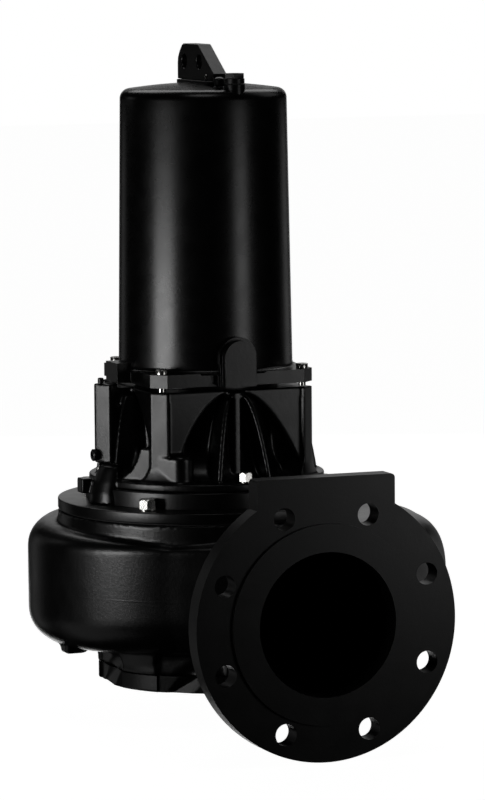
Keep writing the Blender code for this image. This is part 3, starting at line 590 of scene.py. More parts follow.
class Shades:
    """One material's nodes, with short calls for the ones that every finish here uses."""

    def __init__(self, name):
        self.material = bpy.data.materials.new(name)
        self.material.use_nodes = True
        self.tree = self.material.node_tree
        self.shader = self.tree.nodes["Principled BSDF"]
        self.place = self.tree.nodes.new("ShaderNodeTexCoord").outputs["Object"]

    def noise(self, scale, detail=3.0, roughness=0.5):
        node = self.tree.nodes.new("ShaderNodeTexNoise")
        node.inputs["Scale"].default_value = scale
        node.inputs["Detail"].default_value = detail
        node.inputs["Roughness"].default_value = roughness
        self.tree.links.new(self.place, node.inputs["Vector"])
        return node.outputs["Fac"]

    def cells(self, scale):
        node = self.tree.nodes.new("ShaderNodeTexVoronoi")
        node.inputs["Scale"].default_value = scale
        self.tree.links.new(self.place, node.inputs["Vector"])
        return node.outputs["Distance"]

    def spread(self, source, low, high, start=0.3, end=0.7):
        """Map a 0 to 1 pattern onto a range."""
        node = self.tree.nodes.new("ShaderNodeMapRange")
        node.inputs["From Min"].default_value = start
        node.inputs["From Max"].default_value = end
        node.inputs["To Min"].default_value = low
        node.inputs["To Max"].default_value = high
        self.tree.links.new(source, node.inputs["Value"])
        return node.outputs["Result"]

    def blend(self, source, first, second, start=0.3, end=0.7):
        """Mix two colours by a pattern."""
        node = self.tree.nodes.new("ShaderNodeMix")
        node.data_type = "RGBA"
        node.inputs["A"].default_value = (*first, 1.0)
        node.inputs["B"].default_value = (*second, 1.0)
        self.tree.links.new(self.spread(source, 0.0, 1.0, start, end), node.inputs["Factor"])
        return node.outputs["Result"]

    def bump(self, source, strength, distance, normal=None):
        node = self.tree.nodes.new("ShaderNodeBump")
        node.inputs["Strength"].default_value = strength
        node.inputs["Distance"].default_value = distance
        self.tree.links.new(source, node.inputs["Height"])
        if normal is not None:
            self.tree.links.new(normal, node.inputs["Normal"])
        return node.outputs["Normal"]

    def parting_line(self, width):
        """A mould's seam round the object at z = 0, broken up by a pattern."""
        split = self.tree.nodes.new("ShaderNodeSeparateXYZ")
        self.tree.links.new(self.place, split.inputs["Vector"])
        away = self.tree.nodes.new("ShaderNodeMath")
        away.operation = "ABSOLUTE"
        self.tree.links.new(split.outputs["Z"], away.inputs[0])
        ridge = self.spread(away.outputs["Value"], 1.0, 0.0, 0.0, width)
        worn = self.tree.nodes.new("ShaderNodeMath")
        worn.operation = "MULTIPLY"
        self.tree.links.new(ridge, worn.inputs[0])
        self.tree.links.new(self.spread(self.noise(22.0), 0.0, 1.0, 0.42, 0.60), worn.inputs[1])
        return worn.outputs["Value"]

    def feed(self, name, source):
        self.tree.links.new(source, self.shader.inputs[name])

    def fix(self, **values):
        for name, value in values.items():
            self.shader.inputs[name.replace("_", " ")].default_value = value


def black_paint(name, gloss, grain, depth, parting=False):
    """Satin black paint. Grain is the size of the casting's texture and depth its height, in metres."""
    shades = Shades(name)
    patches = shades.noise(14.0, 4.0)
    fine = shades.noise(1.0 / grain, 4.0, 0.6)
    pits = shades.cells(0.35 / grain)
    shades.feed("Base Color", shades.blend(patches, (0.0026, 0.0028, 0.0030), (0.0046, 0.0048, 0.0050)))
    shades.feed("Roughness", shades.spread(shades.noise(46.0, 5.0), gloss - 0.02, gloss + 0.03))
    surface = shades.bump(fine, 0.7, depth)
    surface = shades.bump(pits, 0.35, depth, surface)
    surface = shades.bump(shades.noise(34.0, 2.0), 0.5, depth * 1.5, surface)
    if parting:
        surface = shades.bump(shades.parting_line(PARTING_WIDTH), 0.6, PARTING_HEIGHT, surface)
    shades.feed("Normal", surface)
    return shades.material


def bright_steel(name):
    """Stainless screws with fine turning marks."""
    shades = Shades(name)
    marks = shades.noise(900.0, 3.0)
    shades.feed("Base Color", shades.blend(shades.noise(60.0), (0.52, 0.51, 0.49), (0.72, 0.71, 0.68)))
    shades.feed("Roughness", shades.spread(marks, 0.16, 0.30))
    shades.feed("Normal", shades.bump(marks, 0.2, 0.00005))
    shades.fix(Metallic=1.0)
    return shades.material


def plain_rubber(name):
    shades = Shades(name)
    shades.feed("Base Color", shades.blend(shades.noise(80.0), (0.010, 0.010, 0.010), (0.018, 0.018, 0.018)))
    shades.feed("Roughness", shades.spread(shades.noise(300.0), 0.55, 0.75))
    shades.feed("Normal", shades.bump(shades.noise(1200.0), 0.3, 0.0001))
    return shades.material


def raw_iron(name):
    """Grey cast iron without paint."""
    shades = Shades(name)
    tone = shades.blend(shades.noise(40.0, 5.0), (0.045, 0.042, 0.040), (0.085, 0.080, 0.076))
    shades.feed("Base Color", tone)
    shades.feed("Roughness", shades.spread(shades.noise(120.0, 4.0), 0.45, 0.65))
    shades.feed("Normal", shades.bump(shades.noise(700.0, 4.0), 0.6, 0.0003))
    shades.fix(Metallic=0.6)
    return shades.material


BARREL_PAINT = black_paint("black_paint_smooth", 0.27, 0.0030, 0.000016)
CAST_PAINT = black_paint("black_paint_cast", 0.31, 0.0018, 0.00009)
CASING_PAINT = black_paint("black_paint_casing", 0.31, 0.0016, 0.00016, True)
FACE_PAINT = black_paint("black_paint_face", 0.37, 0.0013, 0.00007)
BRIGHT_STEEL = bright_steel("bright_steel")
BLACK_FITTING = black_paint("black_fitting", 0.36, 0.0012, 0.00005)
RUBBER = plain_rubber("gasket_rubber")
RAW_IRON = raw_iron("raw_iron")


def finish_piece(thing, name, material, slot, *nodes):
    """Name a thing, dress it, put it in the frame and let it stand for CAD nodes."""
    thing.name = name
    thing.data.name = name
    thing.location = PLACE
    thing.data.materials.clear()
    thing.data.materials.append(material)
    for face in thing.data.polygons:
        face.use_smooth = True
    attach(thing, "root")
    if nodes:
        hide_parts(*nodes)
    return thing


def sharpen(thing, degrees=30):
    """Keep edges that are sharper than an angle sharp in the shading."""
    thing.data.set_sharp_from_angle(angle=math.radians(degrees))
    return thing


def turned(outline, sides, centre=(0.0, 0.0)):
    """A turned solid with its hard edges kept sharp."""
    return sharpen(work(lathe(outline, sides, centre)))


# Motor

def crown_height(radius):
    straight = MOTOR_RADIUS_HIGH - MOTOR_EDGE_RADIUS
    return MOTOR_TOP - CROWN_DROP * (radius / straight) ** 2


def build_motor():
    straight = MOTOR_RADIUS_HIGH - MOTOR_EDGE_RADIUS
    shoulder = (straight, crown_height(straight) - MOTOR_EDGE_RADIUS)
    outline = [(straight * step / 12, crown_height(straight * step / 12)) for step in range(12)]
    outline += arc(shoulder, MOTOR_EDGE_RADIUS, 86, 0, 12)
    wall_steps = 24
    for step in range(1, wall_steps + 1):
        share = step / wall_steps
        radius = MOTOR_RADIUS_HIGH + (MOTOR_RADIUS_LOW - MOTOR_RADIUS_HIGH) * share
        outline.append((radius, shoulder[1] + (PLATE_TOP + ROOT_FILLET - shoulder[1]) * share))
    outline += arc((MOTOR_RADIUS_LOW + ROOT_FILLET, PLATE_TOP + ROOT_FILLET), ROOT_FILLET, 190, 268, 6)
    outline += [(MOTOR_RADIUS_LOW + 0.004, PLATE_TOP - 0.002), (0.0, PLATE_TOP - 0.002)]
    finish_piece(turned(outline, 160), "motor_barrel", BARREL_PAINT, "black_paint", "motor_housing")

    outline = square_outline(PLATE_HALF, FRONT_CORNER_CUT, BACK_CORNER_CUT)
    plate = work(prism(outline, "Z", PLATE_BOTTOM, PLATE_TOP))
    cap = work(box((-CAP_FACE, -TAB_ROOT), (-CAP_HALF_WIDTH, CAP_HALF_WIDTH), (PLATE_BOTTOM + GAP, CAP_TOP)))
    tabs = [work(tab_shape(TAB_BACK_HALF_WIDTH, TAB_BACK_FACE, GAP)),
            work(tab_shape(TAB_HALF_WIDTH, TAB_FACE, 0.0))]
    recesses = [work(turn(plate_recess(), angle)) for angle in (0.0, math.pi)]
    carve(plate, joined=[cap] + tabs, cuts=recesses)
    edge(plate, PLATE_EDGE)
    finish_piece(plate, "motor_flange", CAST_PAINT, "black_paint", "motor_housing")

    pad = work(pad_shape())
    seat = work(rod(SCREW_SEAT_RADIUS, (PAD_ROOT, SCREW_SEAT), SCREW_PLACE, sides=40))
    boss = work(rod(GLAND_BOSS_RADIUS, (PAD_ROOT, GLAND_BOSS_TOP), GLAND_PLACE, sides=64))
    carve(pad, joined=[seat, boss])
    edge(pad, PAD_EDGE)
    finish_piece(pad, "lug_pad", CAST_PAINT, "black_paint", "motor_housing")


def plate_recess():
    """Shallow step in the left half of the flange's front face."""
    return box(PLATE_RECESS_SPAN, (-PLATE_HALF - CLEAR, PLATE_RECESS - PLATE_HALF),
               (PLATE_BOTTOM - CLEAR, PLATE_TOP + CLEAR))


def tab_shape(half_width, face, lift):
    """One layer of the arched tab at the middle of the flange's front edge."""
    centre = (0.0, TAB_TOP - TAB_HALF_WIDTH)
    outline = [(-half_width, PLATE_BOTTOM + lift), (half_width, PLATE_BOTTOM + lift)]
    outline += arc(centre, half_width, 0, 180, 32)
    return prism(outline, "Y", -face, -TAB_ROOT)


def pad_shape():
    """Flat seat for the lifting lug on the domed top."""
    back, front = PAD_CENTRES
    outline = arc((0.0, back), PAD_HALF_WIDTH, 0, 180, 16) + arc((0.0, front), PAD_HALF_WIDTH, 180, 360, 16)
    return prism(outline, "Z", PAD_ROOT, LUG_SEAT - GAP)


def build_lug():
    outline = [(LUG_BACK, LUG_SEAT)]
    outline += [(LUG_BACK - inward, LUG_TOP - drop) for inward, drop in LUG_BACK_CORNERS]
    outline += arc((LUG_CREST, LUG_TOP - LUG_CORNER), LUG_CORNER, 90, 122, 5)
    outline += [(LUG_FRONT, LUG_NOSE_HEIGHT), (LUG_FRONT, LUG_SEAT)]
    lug = work(prism(outline, "X", -LUG_HALF_THICKNESS, LUG_HALF_THICKNESS))
    reach = (-2 * LUG_HALF_THICKNESS, 2 * LUG_HALF_THICKNESS)
    carve(lug, cuts=[work(rod(LUG_HOLE_RADIUS, reach, centre, "X", 48)) for centre in LUG_HOLES])
    edge(lug, LUG_EDGE)
    finish_piece(lug, "lifting_eye_plate", CAST_PAINT, "black_paint", "lifting_lug")


def build_top_fittings():
    low = SCREW_SEAT + GAP
    high = low + SCREW_HEIGHT
    head = [(0.0, high)]
    for step in range(1, 7):
        angle = QUARTER * step / 6
        head.append((SCREW_RADIUS * math.sin(angle), high - SCREW_DOME + SCREW_DOME * math.cos(angle)))
    head += [(SCREW_RADIUS, low), (0.0, low)]
    bolt = turned(head, 32, SCREW_PLACE)
    finish_piece(bolt, "lug_screw_front", BLACK_FITTING, "stainless_bolt", "lug_bolt_front")
    high = LUG_SEAT + PIN_HEIGHT
    pin = [(0.0, high), (PIN_RADIUS - 0.0004, high), (PIN_RADIUS, high - 0.0006), (PIN_RADIUS, LUG_SEAT),
           (0.0, LUG_SEAT)]
    small = turned(pin, 20, PIN_PLACE)
    finish_piece(small, "lug_screw_side", BRIGHT_STEEL, "stainless_bolt", "lug_bolt_side")

    low = GLAND_BOSS_TOP + GAP
    high = low + GLAND_HEIGHT
    body = [(GLAND_BORE_RADIUS, high), (GLAND_RADIUS - 0.0005, high), (GLAND_RADIUS, high - 0.0005),
            (GLAND_RADIUS, low), (GLAND_BORE_RADIUS, low)]
    base = turned(body, 48, GLAND_PLACE)
    finish_piece(base, "gland_body", BLACK_FITTING, "dark_plug", "cable_gland")
    low = high + GAP
    high = low + NUT_HEIGHT
    flats = NUT_RADIUS * math.sqrt(3)
    nut = work(shift(turn(hex_prism(flats, low, high), HEX_TURN), (*GLAND_PLACE, 0.0)))
    inward, drop = NUT_CHAMFER
    above, below, rim = high + OVERSHOOT, low - OVERSHOOT, NUT_RADIUS - inward
    crown = [(GLAND_BORE_RADIUS, above), (rim, above), (rim, high), (NUT_RADIUS, high - drop),
             (NUT_RADIUS, below), (GLAND_BORE_RADIUS, below)]
    trim_nut(nut, work(lathe(crown, 48, GLAND_PLACE)))
    finish_piece(sharpen(nut), "gland_hex_nut", BLACK_FITTING, "dark_plug", "gland_nut")


def hex_prism(across_flats, low, high):
    bm = bmesh.new()
    bmesh.ops.create_cone(bm, cap_ends=True, segments=6, radius1=across_flats / math.sqrt(3),
                          radius2=across_flats / math.sqrt(3), depth=high - low)
    return shift(bm, (0.0, 0.0, (low + high) / 2))


def trim_nut(nut, round_body):
    """Keep only what a hex prism shares with a round body, which chamfers its corners."""
    step = nut.modifiers.new("trim", "BOOLEAN")
    step.object = round_body
    step.operation = "INTERSECT"
    step.solver = "EXACT"
    bake(nut)
    bpy.data.objects.remove(round_body)
    return nut


def bolt_mesh(across_flats, height, washer):
    """A hex head with chamfered corners on a flat washer, standing on z = 0."""
    radius = across_flats / math.sqrt(3)
    washer_radius, washer_height = washer
    head = work(hex_prism(across_flats, washer_height - HEAD_SINK, height))
    top, round_radius = height + HEAD_SPARE, radius * HEAD_ROUND_SHARE
    chamfer = [(0.0, top), (across_flats * HEAD_CROWN_SHARE, top), (round_radius, height - HEAD_CHAMFER_DROP),
               (round_radius, washer_height - OVERSHOOT), (0.0, washer_height - OVERSHOOT)]
    trim_nut(head, work(lathe(chamfer, 48)))
    ring = [(0.0, washer_height), (washer_radius - WASHER_EDGE, washer_height),
            (washer_radius, washer_height - WASHER_EDGE), (washer_radius, 0.0), (0.0, 0.0)]
    carve(head, joined=[work(lathe(ring, 40))])
    edge(head, HEAD_EDGE, 2, 25)
    return head


def build_bolts():
    place_bolts("housing_screw", "housing_bolt",
                bolt_mesh(HOUSING_BOLT_FLATS, HOUSING_BOLT_HEIGHT, HOUSING_WASHER),
                [(HOUSING_BOLT_CIRCLE, math.pi + index * QUARTER, FOOT_TOP + GAP) for index in range(4)])
    place_bolts("cover_screw", "cover_bolt", bolt_mesh(COVER_BOLT_FLATS, COVER_BOLT_HEIGHT, COVER_WASHER),
                [(COVER_BOLT_CIRCLE, math.radians(degrees), COVER_TOP + GAP)
                 for degrees in COVER_BOLT_DEGREES])
    place_bolts("flange_screw", "corner_screw", socket_mesh(),
                [(circle, math.radians(225) + QUARTER * index, PLATE_TOP + GAP)
                 for index, circle in enumerate(SCREW_CIRCLES)])


def place_bolts(name, node, pattern, places):
    """Copy one bolt to each place, given as radius, angle and height."""
    for index, (radius, angle, seat) in enumerate(places):
        head = bpy.data.objects.new(f"{name}_{index + 1}", pattern.data.copy())
        bpy.context.scene.collection.objects.link(head)
        move = Matrix.Translation(polar(radius, angle, seat))
        head.data.transform(move @ Matrix.Rotation(HEX_TURN, 4, "Z"))
        finish_piece(head, f"{name}_{index + 1}", BRIGHT_STEEL, "stainless_bolt", f"{node}_{index + 1}")
    bpy.data.objects.remove(pattern)


def socket_mesh():
    """A cap screw with a hex socket, standing on z = 0, and its shank in the gap below the flange."""
    top, rim, chamfer = CORNER_SCREW_HEIGHT, CORNER_SCREW_RADIUS, CORNER_SCREW_CHAMFER
    head = work(lathe([(0.0, top), (rim - chamfer, top), (rim, top - chamfer), (rim, 0.0), (0.0, 0.0)], 40))
    carve(head, cuts=[work(hex_prism(CORNER_SOCKET_FLATS, top - CORNER_SOCKET_DEPTH, top + OVERSHOOT))])
    shank_span = (HOUSING_TOP + GAP - PLATE_TOP, PLATE_BOTTOM - GAP - PLATE_TOP)
    carve(head, joined=[work(rod(CORNER_SHANK_RADIUS, shank_span, sides=32))])
    return sharpen(edge(head, CORNER_SCREW_EDGE, 2, 40))


# Seal housing

def build_seal_housing():
    outline = square_outline(PLATE_HALF, FRONT_CORNER_CUT, FRONT_CORNER_CUT)
    housing = work(prism(outline, "Z", HOUSING_BOTTOM + 0.004, HOUSING_TOP))
    cuts = []
    lumps = [work(lathe(core_outline(), 120))]
    for index in range(4):
        angle = index * QUARTER
        cuts.append(work(turn(face_recess(), angle)))
        cuts.append(work(turn(arch_pocket(FRONT_ARCH_NARROWING if index == 0 else 0.0), angle)))
        web = box((-WEB_HALF_WIDTH, WEB_HALF_WIDTH), (-WEB_OUTER, -WEB_INNER),
                  (HOUSING_BOTTOM + 0.002, WEB_TOP))
        lumps.append(work(turn(web, angle + QUARTER / 2)))
        lumps.append(work(corner_apron(angle + QUARTER / 2)))
        lumps.append(work(turn(centre_rib(), angle)))
        lumps.append(work(turn(fin(-1), angle)))
        lumps.append(work(turn(fin(1), angle)))
    lumps.append(work(front_boss()))
    lumps.append(work(prism(BOSS_FILL, "Z", HOUSING_BOTTOM + BOSS_SINK, BOSS_TOP - BOSS_SINK)))
    ear = box((-EAR_OUTER, -EAR_INNER), (-EAR_HALF_WIDTH, EAR_HALF_WIDTH), (EAR_BOTTOM, EAR_TOP))
    lumps.append(work(ear))
    lumps.append(work(turn(prism(WEDGE_OUTLINE, "Y", *WEDGE_DEPTH), WEDGE_TURN)))
    leg = work(foot_leg())
    below = (FOOT_LEG[0][0] - CLEAR, HOUSING_BOTTOM)
    carve(leg, cuts=[work(rod(RING_RADIUS + LUG_FOOT_CLEARANCE, below, sides=120))])
    lumps.append(leg)
    lumps.append(side_column())
    lumps.append(work(box((-COLUMN_PLACE, -0.080), (-COLUMN_WEB_HALF_WIDTH, COLUMN_WEB_HALF_WIDTH),
                          (COLUMN_BOTTOM + 0.003, HOUSING_TOP - 0.001))))
    lumps.append(work(left_cheek()))
    carve(housing, cuts=cuts)
    carve(housing, joined=lumps)
    cast(housing, *HOUSING_SKIN)
    finish_piece(housing, "finned_housing", CAST_PAINT, "black_paint", "seal_housing")


def face_recess():
    """Shallow step that leaves the corner pilasters standing proud."""
    side = PLATE_HALF - FRONT_CORNER_CUT - PILASTER_MARGIN
    return box((-side, side), (-PLATE_HALF - CLEAR, FACE_RECESS - PLATE_HALF),
               (HOUSING_BOTTOM - CLEAR, HOUSING_TOP + CLEAR))


def arch_pocket(narrowing):
    """Arch with a parabolic outline, open at the foot; the front one is narrower at its left foot."""
    steps = 40
    below = HOUSING_BOTTOM - CLEAR
    outline = []
    for index in range(steps + 1):
        share = 1 - 2 * index / steps
        x = ARCH_HALF_WIDTH * share
        inward = narrowing * share ** 4 if share < 0 else 0.0
        outline.append((x + inward, ARCH_TOP - ARCH_DROP * x * x))
    outline += [(narrowing - ARCH_HALF_WIDTH, below), (ARCH_HALF_WIDTH, below)]
    return prism(outline, "Y", -PLATE_HALF - CLEAR, POCKET_DEPTH - PLATE_HALF)


def core_outline():
    """The round core, which flares out to the foot."""
    top = HOUSING_TOP - 0.0008
    foot = FOOT_RADIUS - FOOT_EDGE
    outline = [(0.0, top), (CORE_TOP_RADIUS, top), CORE_WAIST]
    wide, high = CORE_FLARE
    for step in range(11):
        angle = QUARTER * step / 10
        outline.append((CORE_FLARE_RADIUS + wide - wide * math.cos(angle),
                        FOOT_TOP + high - high * math.sin(angle)))
    outline += arc((foot, FOOT_TOP - FOOT_EDGE), FOOT_EDGE, 90, 0, 4)
    return outline + [(FOOT_RADIUS, HOUSING_BOTTOM), (0.0, HOUSING_BOTTOM)]


def centre_rib():
    """Flat-nosed rib up the middle of a pocket, rooted in the core."""
    front, side = -RIB_NOSE - RIB_HALF_WIDTH, RIB_HALF_WIDTH
    outline = [(-side, front + RIB_CHAMFER), (RIB_CHAMFER - side, front),
               (side - RIB_CHAMFER, front + RIB_SKEW), (side, front + RIB_SKEW + RIB_CHAMFER),
               (side, -RIB_ROOT), (-side, -RIB_ROOT)]
    return prism(outline, "Z", FOOT_TOP - 0.002, ARCH_TOP + 0.0007)


def corner_apron(turn_by):
    """Slope that spreads from a corner's web out to the foot's edge."""
    middle = turn_by - QUARTER
    levels = 12
    rings = []
    for level in range(levels + 1):
        share = (level / levels) ** APRON_CURVE
        height = APRON_TOP + (HOUSING_BOTTOM + 0.001 - APRON_TOP) * level / levels
        reach = between(APRON_REACH, share)
        half = between(APRON_HALF_ANGLE, share)
        rings.append(fan(middle, half, APRON_INNER, height, 10, lambda angle: reach))
    return loft(rings)


def side_column():
    """Round column on the left side, flattened towards the front left."""
    column = work(rod(COLUMN_RADIUS, (COLUMN_BOTTOM, COLUMN_TOP), sides=64))
    flat = box((COLUMN_FLAT, 2 * COLUMN_RADIUS), (-COLUMN_RADIUS, COLUMN_RADIUS),
               (COLUMN_BOTTOM - CLEAR, COLUMN_TOP + CLEAR))
    carve(column, cuts=[work(turn(flat, COLUMN_FLAT_AZIMUTH))])
    column.data.transform(Matrix.Translation((-COLUMN_PLACE, 0.0, 0.0)))
    return column


def left_cheek():
    """Flare that fills the left pocket from the column's web down to the foot."""
    levels = 12
    rings = []
    for level in range(levels + 1):
        share = level / levels
        height = between((CHEEK_TOP, FOOT_TOP - 0.001), share)
        half = between(CHEEK_HALF_ANGLE, share ** 1.5)
        reach = between(CHEEK_REACH, share ** 3)
        rings.append(fan(math.pi, half, APRON_INNER, height, 14, lambda angle: reach))
    return loft(rings)


def front_boss():
    """Round boss at the front left of the foot, with a soft top edge."""
    outline = [(0.0, BOSS_TOP)] + arc((BOSS_RADIUS - BOSS_EDGE, BOSS_TOP - BOSS_EDGE), BOSS_EDGE, 90, 0, 6)
    outline += [(BOSS_RADIUS, HOUSING_BOTTOM + BOSS_SINK), (0.0, HOUSING_BOTTOM + BOSS_SINK)]
    return lathe(outline, 64, BOSS_PLACE)


def foot_leg():
    """Oval leg under the foot's left bolt, which stands on the cover."""
    rings = []
    for height, middle, deep, wide in FOOT_LEG:
        ring = []
        for side in range(FOOT_LEG_SIDES):
            angle = 2 * math.pi * side / FOOT_LEG_SIDES
            ring.append((middle + deep * math.cos(angle), wide * math.sin(angle), height))
        rings.append(ring)
    return turn(loft(rings), LUG_FOOT_AZIMUTH)


def fin(side):
    """Curved fin from the arch's top out to the foot; side is -1 for left and 1 for right."""
    steps = 24
    rings = []
    for index in range(-1, steps + 1):
        share = max(index, 0) / steps
        z = FIN_TOP + (FIN_BOTTOM - FIN_TOP) * share if index >= 0 else ARCH_TOP + 0.0010
        x = side * (FIN_START[0] + FIN_TRAVEL[0] * math.sqrt(share))
        y = -FIN_START[1] - FIN_TRAVEL[1] * math.sqrt(share)
        left, right = x - FIN_HALF_WIDTH, x + FIN_HALF_WIDTH
        rings.append([(left, -FIN_ROOT, z), (left, y + FIN_NOSE, z), (x, y, z), (right, y + FIN_NOSE, z),
                      (right, -FIN_ROOT, z)])
    return loft(rings)


def build_column_fittings():
    face = -COLUMN_PLACE - COLUMN_RADIUS
    outline = [(0.0, PLUG_HEIGHT), (PLUG_RADIUS - 0.0013, PLUG_HEIGHT), (PLUG_RADIUS, PLUG_HEIGHT - 0.0010),
               (PLUG_RADIUS, GAP), (0.0, GAP)]
    plug = work(shift(turn(lathe(outline, 40), -QUARTER, "Y"), (face, 0.0, PLUG_LEVEL)))
    socket = hex_prism(PLUG_SOCKET, 0.5 * PLUG_HEIGHT, 1.5 * PLUG_HEIGHT)
    carve(plug, cuts=[work(shift(turn(socket, -QUARTER, "Y"), (face, 0.0, PLUG_LEVEL)))])
    finish_piece(sharpen(plug), "column_screw_plug", BLACK_FITTING, "dark_plug", "column_plug")
    low, high = COLUMN_TOP + GAP, COLUMN_TOP + STUD_HEIGHT
    chamfer = 0.0008
    tip = [(0.0, high), (STUD_RADIUS - chamfer, high), (STUD_RADIUS, high - chamfer), (STUD_RADIUS, low),
           (0.0, low)]
    pin = turned(tip, 28, STUD_PLACE)
    finish_piece(pin, "column_stud", BLACK_FITTING, "dark_plug", "column_pin")


# Rings and cover

def build_rings():
    top, bottom = PLATE_BOTTOM - GAP, HOUSING_TOP + GAP
    register = [(0.0, top), (SPIGOT_UPPER_RADIUS, top), (SPIGOT_UPPER_RADIUS, bottom), (0.0, bottom)]
    finish_piece(turned(register, 120), "motor_register", CAST_PAINT, "black_paint", "motor_spigot")
    top, bottom = HOUSING_BOTTOM - GAP, COVER_TOP + GAP
    ring = [(0.0, top)] + arc((RING_RADIUS - RING_EDGE, top - RING_EDGE), RING_EDGE, 90, 0, 5)
    ring += [(RING_RADIUS, bottom), (0.0, bottom)]
    finish_piece(turned(ring, 160), "bearing_carrier", CAST_PAINT, "black_paint", "bearing_ring")
    bore = SHAFT_RADIUS + GAP
    cover = [(bore, COVER_TOP)]
    cover += arc((COVER_RADIUS - COVER_EDGE, COVER_TOP - COVER_EDGE), COVER_EDGE, 90, 0, 5)
    cover += arc((COVER_RADIUS - COVER_EDGE, COVER_BOTTOM + COVER_EDGE), COVER_EDGE, 0, -90, 5)
    cover += [(SPIGOT_RADIUS, COVER_BOTTOM), (SPIGOT_RADIUS, SPIGOT_BOTTOM), (bore, SPIGOT_BOTTOM)]
    finish_piece(turned(cover, 180), "casing_cover", CAST_PAINT, "black_paint", "cover_plate")
    inner, outer = GASKET_RADII
    high, low = COVER_BOTTOM - GAP, CASING_TOP + GAP
    seal = turned([(inner, high), (outer, high), (outer, low), (inner, low)], 160)
    finish_piece(seal, "cover_seal", RUBBER, "gasket", "casing_gasket")


# Volute casing

def travel_share(angle):
    """How far round the spiral an angle lies, from 0 at the tongue to 1 where the duct leaves."""
    travel = (TONGUE_ANGLE - angle) % (2 * math.pi)
    if travel <= SPIRAL_SWEEP:
        return travel / SPIRAL_SWEEP
    return 1 - smooth((travel - SPIRAL_SWEEP) / (2 * math.pi - SPIRAL_SWEEP))


def spiral_size(angle):
    """Outer radius, top and bottom of the spiral at an angle."""
    share = travel_share(angle)
    lift = share ** 0.6
    radius = between((SPIRAL_RADIUS_START, SPIRAL_RADIUS_END), share)
    top = min(between((SPIRAL_TOP_START, SPIRAL_TOP_END), lift), SPIRAL_TOP_LIMIT)
    bottom = between((SPIRAL_BOTTOM_START, SPIRAL_BOTTOM_END), lift)
    return radius, top, -bottom


def outer_section(radius, top, bottom):
    """Half section of the casing, from its top centre round the outside to its bottom centre."""
    corner = min(SHOULDER_RADIUS, radius - COVER_RADIUS - SHOULDER_MARGIN)
    neck = CASING_TOP + NECK_SPARE
    points = [(CASING_INNER, neck), (COVER_RADIUS, neck), (COVER_RADIUS, top + 0.001)]
    points += arc((radius - corner, top - corner), corner, 90, 0, 12)
    wide, high = LOWER_CORNER
    for step in range(13):
        angle = QUARTER * step / 12
        points.append((radius - wide + wide * math.cos(angle), bottom + high - high * math.sin(angle)))
    return points + [(CASING_FLOOR, bottom), (CASING_INNER, bottom)]


def inner_section(radius, top, bottom):
    """Half section of the water passage."""
    corner = PASSAGE_CORNER
    outer, high, low = radius - CASING_WALL, top - CASING_WALL, bottom + CASING_WALL
    points = [(CASING_INNER, high)]
    points += arc((outer - corner, high - corner), corner, 90, 0, 8)
    points += arc((outer - corner, low + corner), corner, 0, -90, 8)
    return points + [(CASING_INNER, low)]


def spin_section(section, steps):
    """Sweep a half section that changes with the angle once round the axis, and close the middle."""
    bm = bmesh.new()
    rows = []
    for index in range(steps):
        angle = 2 * math.pi * index / steps
        profile = section(*spiral_size(angle))
        rows.append([bm.verts.new(polar(radius, angle, height)) for radius, height in profile])
    for index in range(steps):
        here, there = rows[index], rows[(index + 1) % steps]
        for side in range(len(here) - 1):
            bm.faces.new((here[side], here[side + 1], there[side + 1], there[side]))
    for end in (0, -1):
        height = sum(row[end].co.z for row in rows) / steps
        hub = bm.verts.new((0.0, 0.0, height))
        for index in range(steps):
            bm.faces.new((rows[index][end], rows[(index + 1) % steps][end], hub))
    return bm


def duct(start_half, end_radius, reach, sides):
    """Swept duct from the spiral to the flange: a rounded oblong that turns into a circle."""
    steps = 40
    start_width, start_height = start_half
    finish = Vector((0.0, -reach))
    rings = []
    for index in range(steps + 1):
        share = index / steps
        back = 1 - share
        middle = (DUCT_START * back ** 3 + DUCT_LEAVE * (3 * back * back * share)
                  + DUCT_ARRIVE * (3 * back * share * share) + finish * share ** 3)
        ahead = ((DUCT_LEAVE - DUCT_START) * (3 * back * back)
                 + (DUCT_ARRIVE - DUCT_LEAVE) * (6 * back * share)
                 + (finish - DUCT_ARRIVE) * (3 * share * share))
        straighten = smooth(max(0.0, share - DUCT_STRAIGHTENS[0]) / DUCT_STRAIGHTENS[1])
        ahead = ahead.normalized() * (1 - straighten) + Vector((0.0, -1.0)) * straighten
        ahead.normalize()
        across = Vector((-ahead.y, ahead.x))
        blend = smooth(share)
        half = between((start_width, end_radius), blend)
        height = between((start_height, end_radius), blend)
        power = 2 + DUCT_SQUARENESS * (1 - blend)
        ring = []
        for side in range(sides):
            angle = 2 * math.pi * side / sides
            c, s = math.cos(angle), math.sin(angle)
            u = half * math.copysign(abs(c) ** (2 / power), c)
            w = height * math.copysign(abs(s) ** (2 / power), s)
            ring.append((middle.x + across.x * u, middle.y + across.y * u, w))
        rings.append(ring)
    return loft(rings)


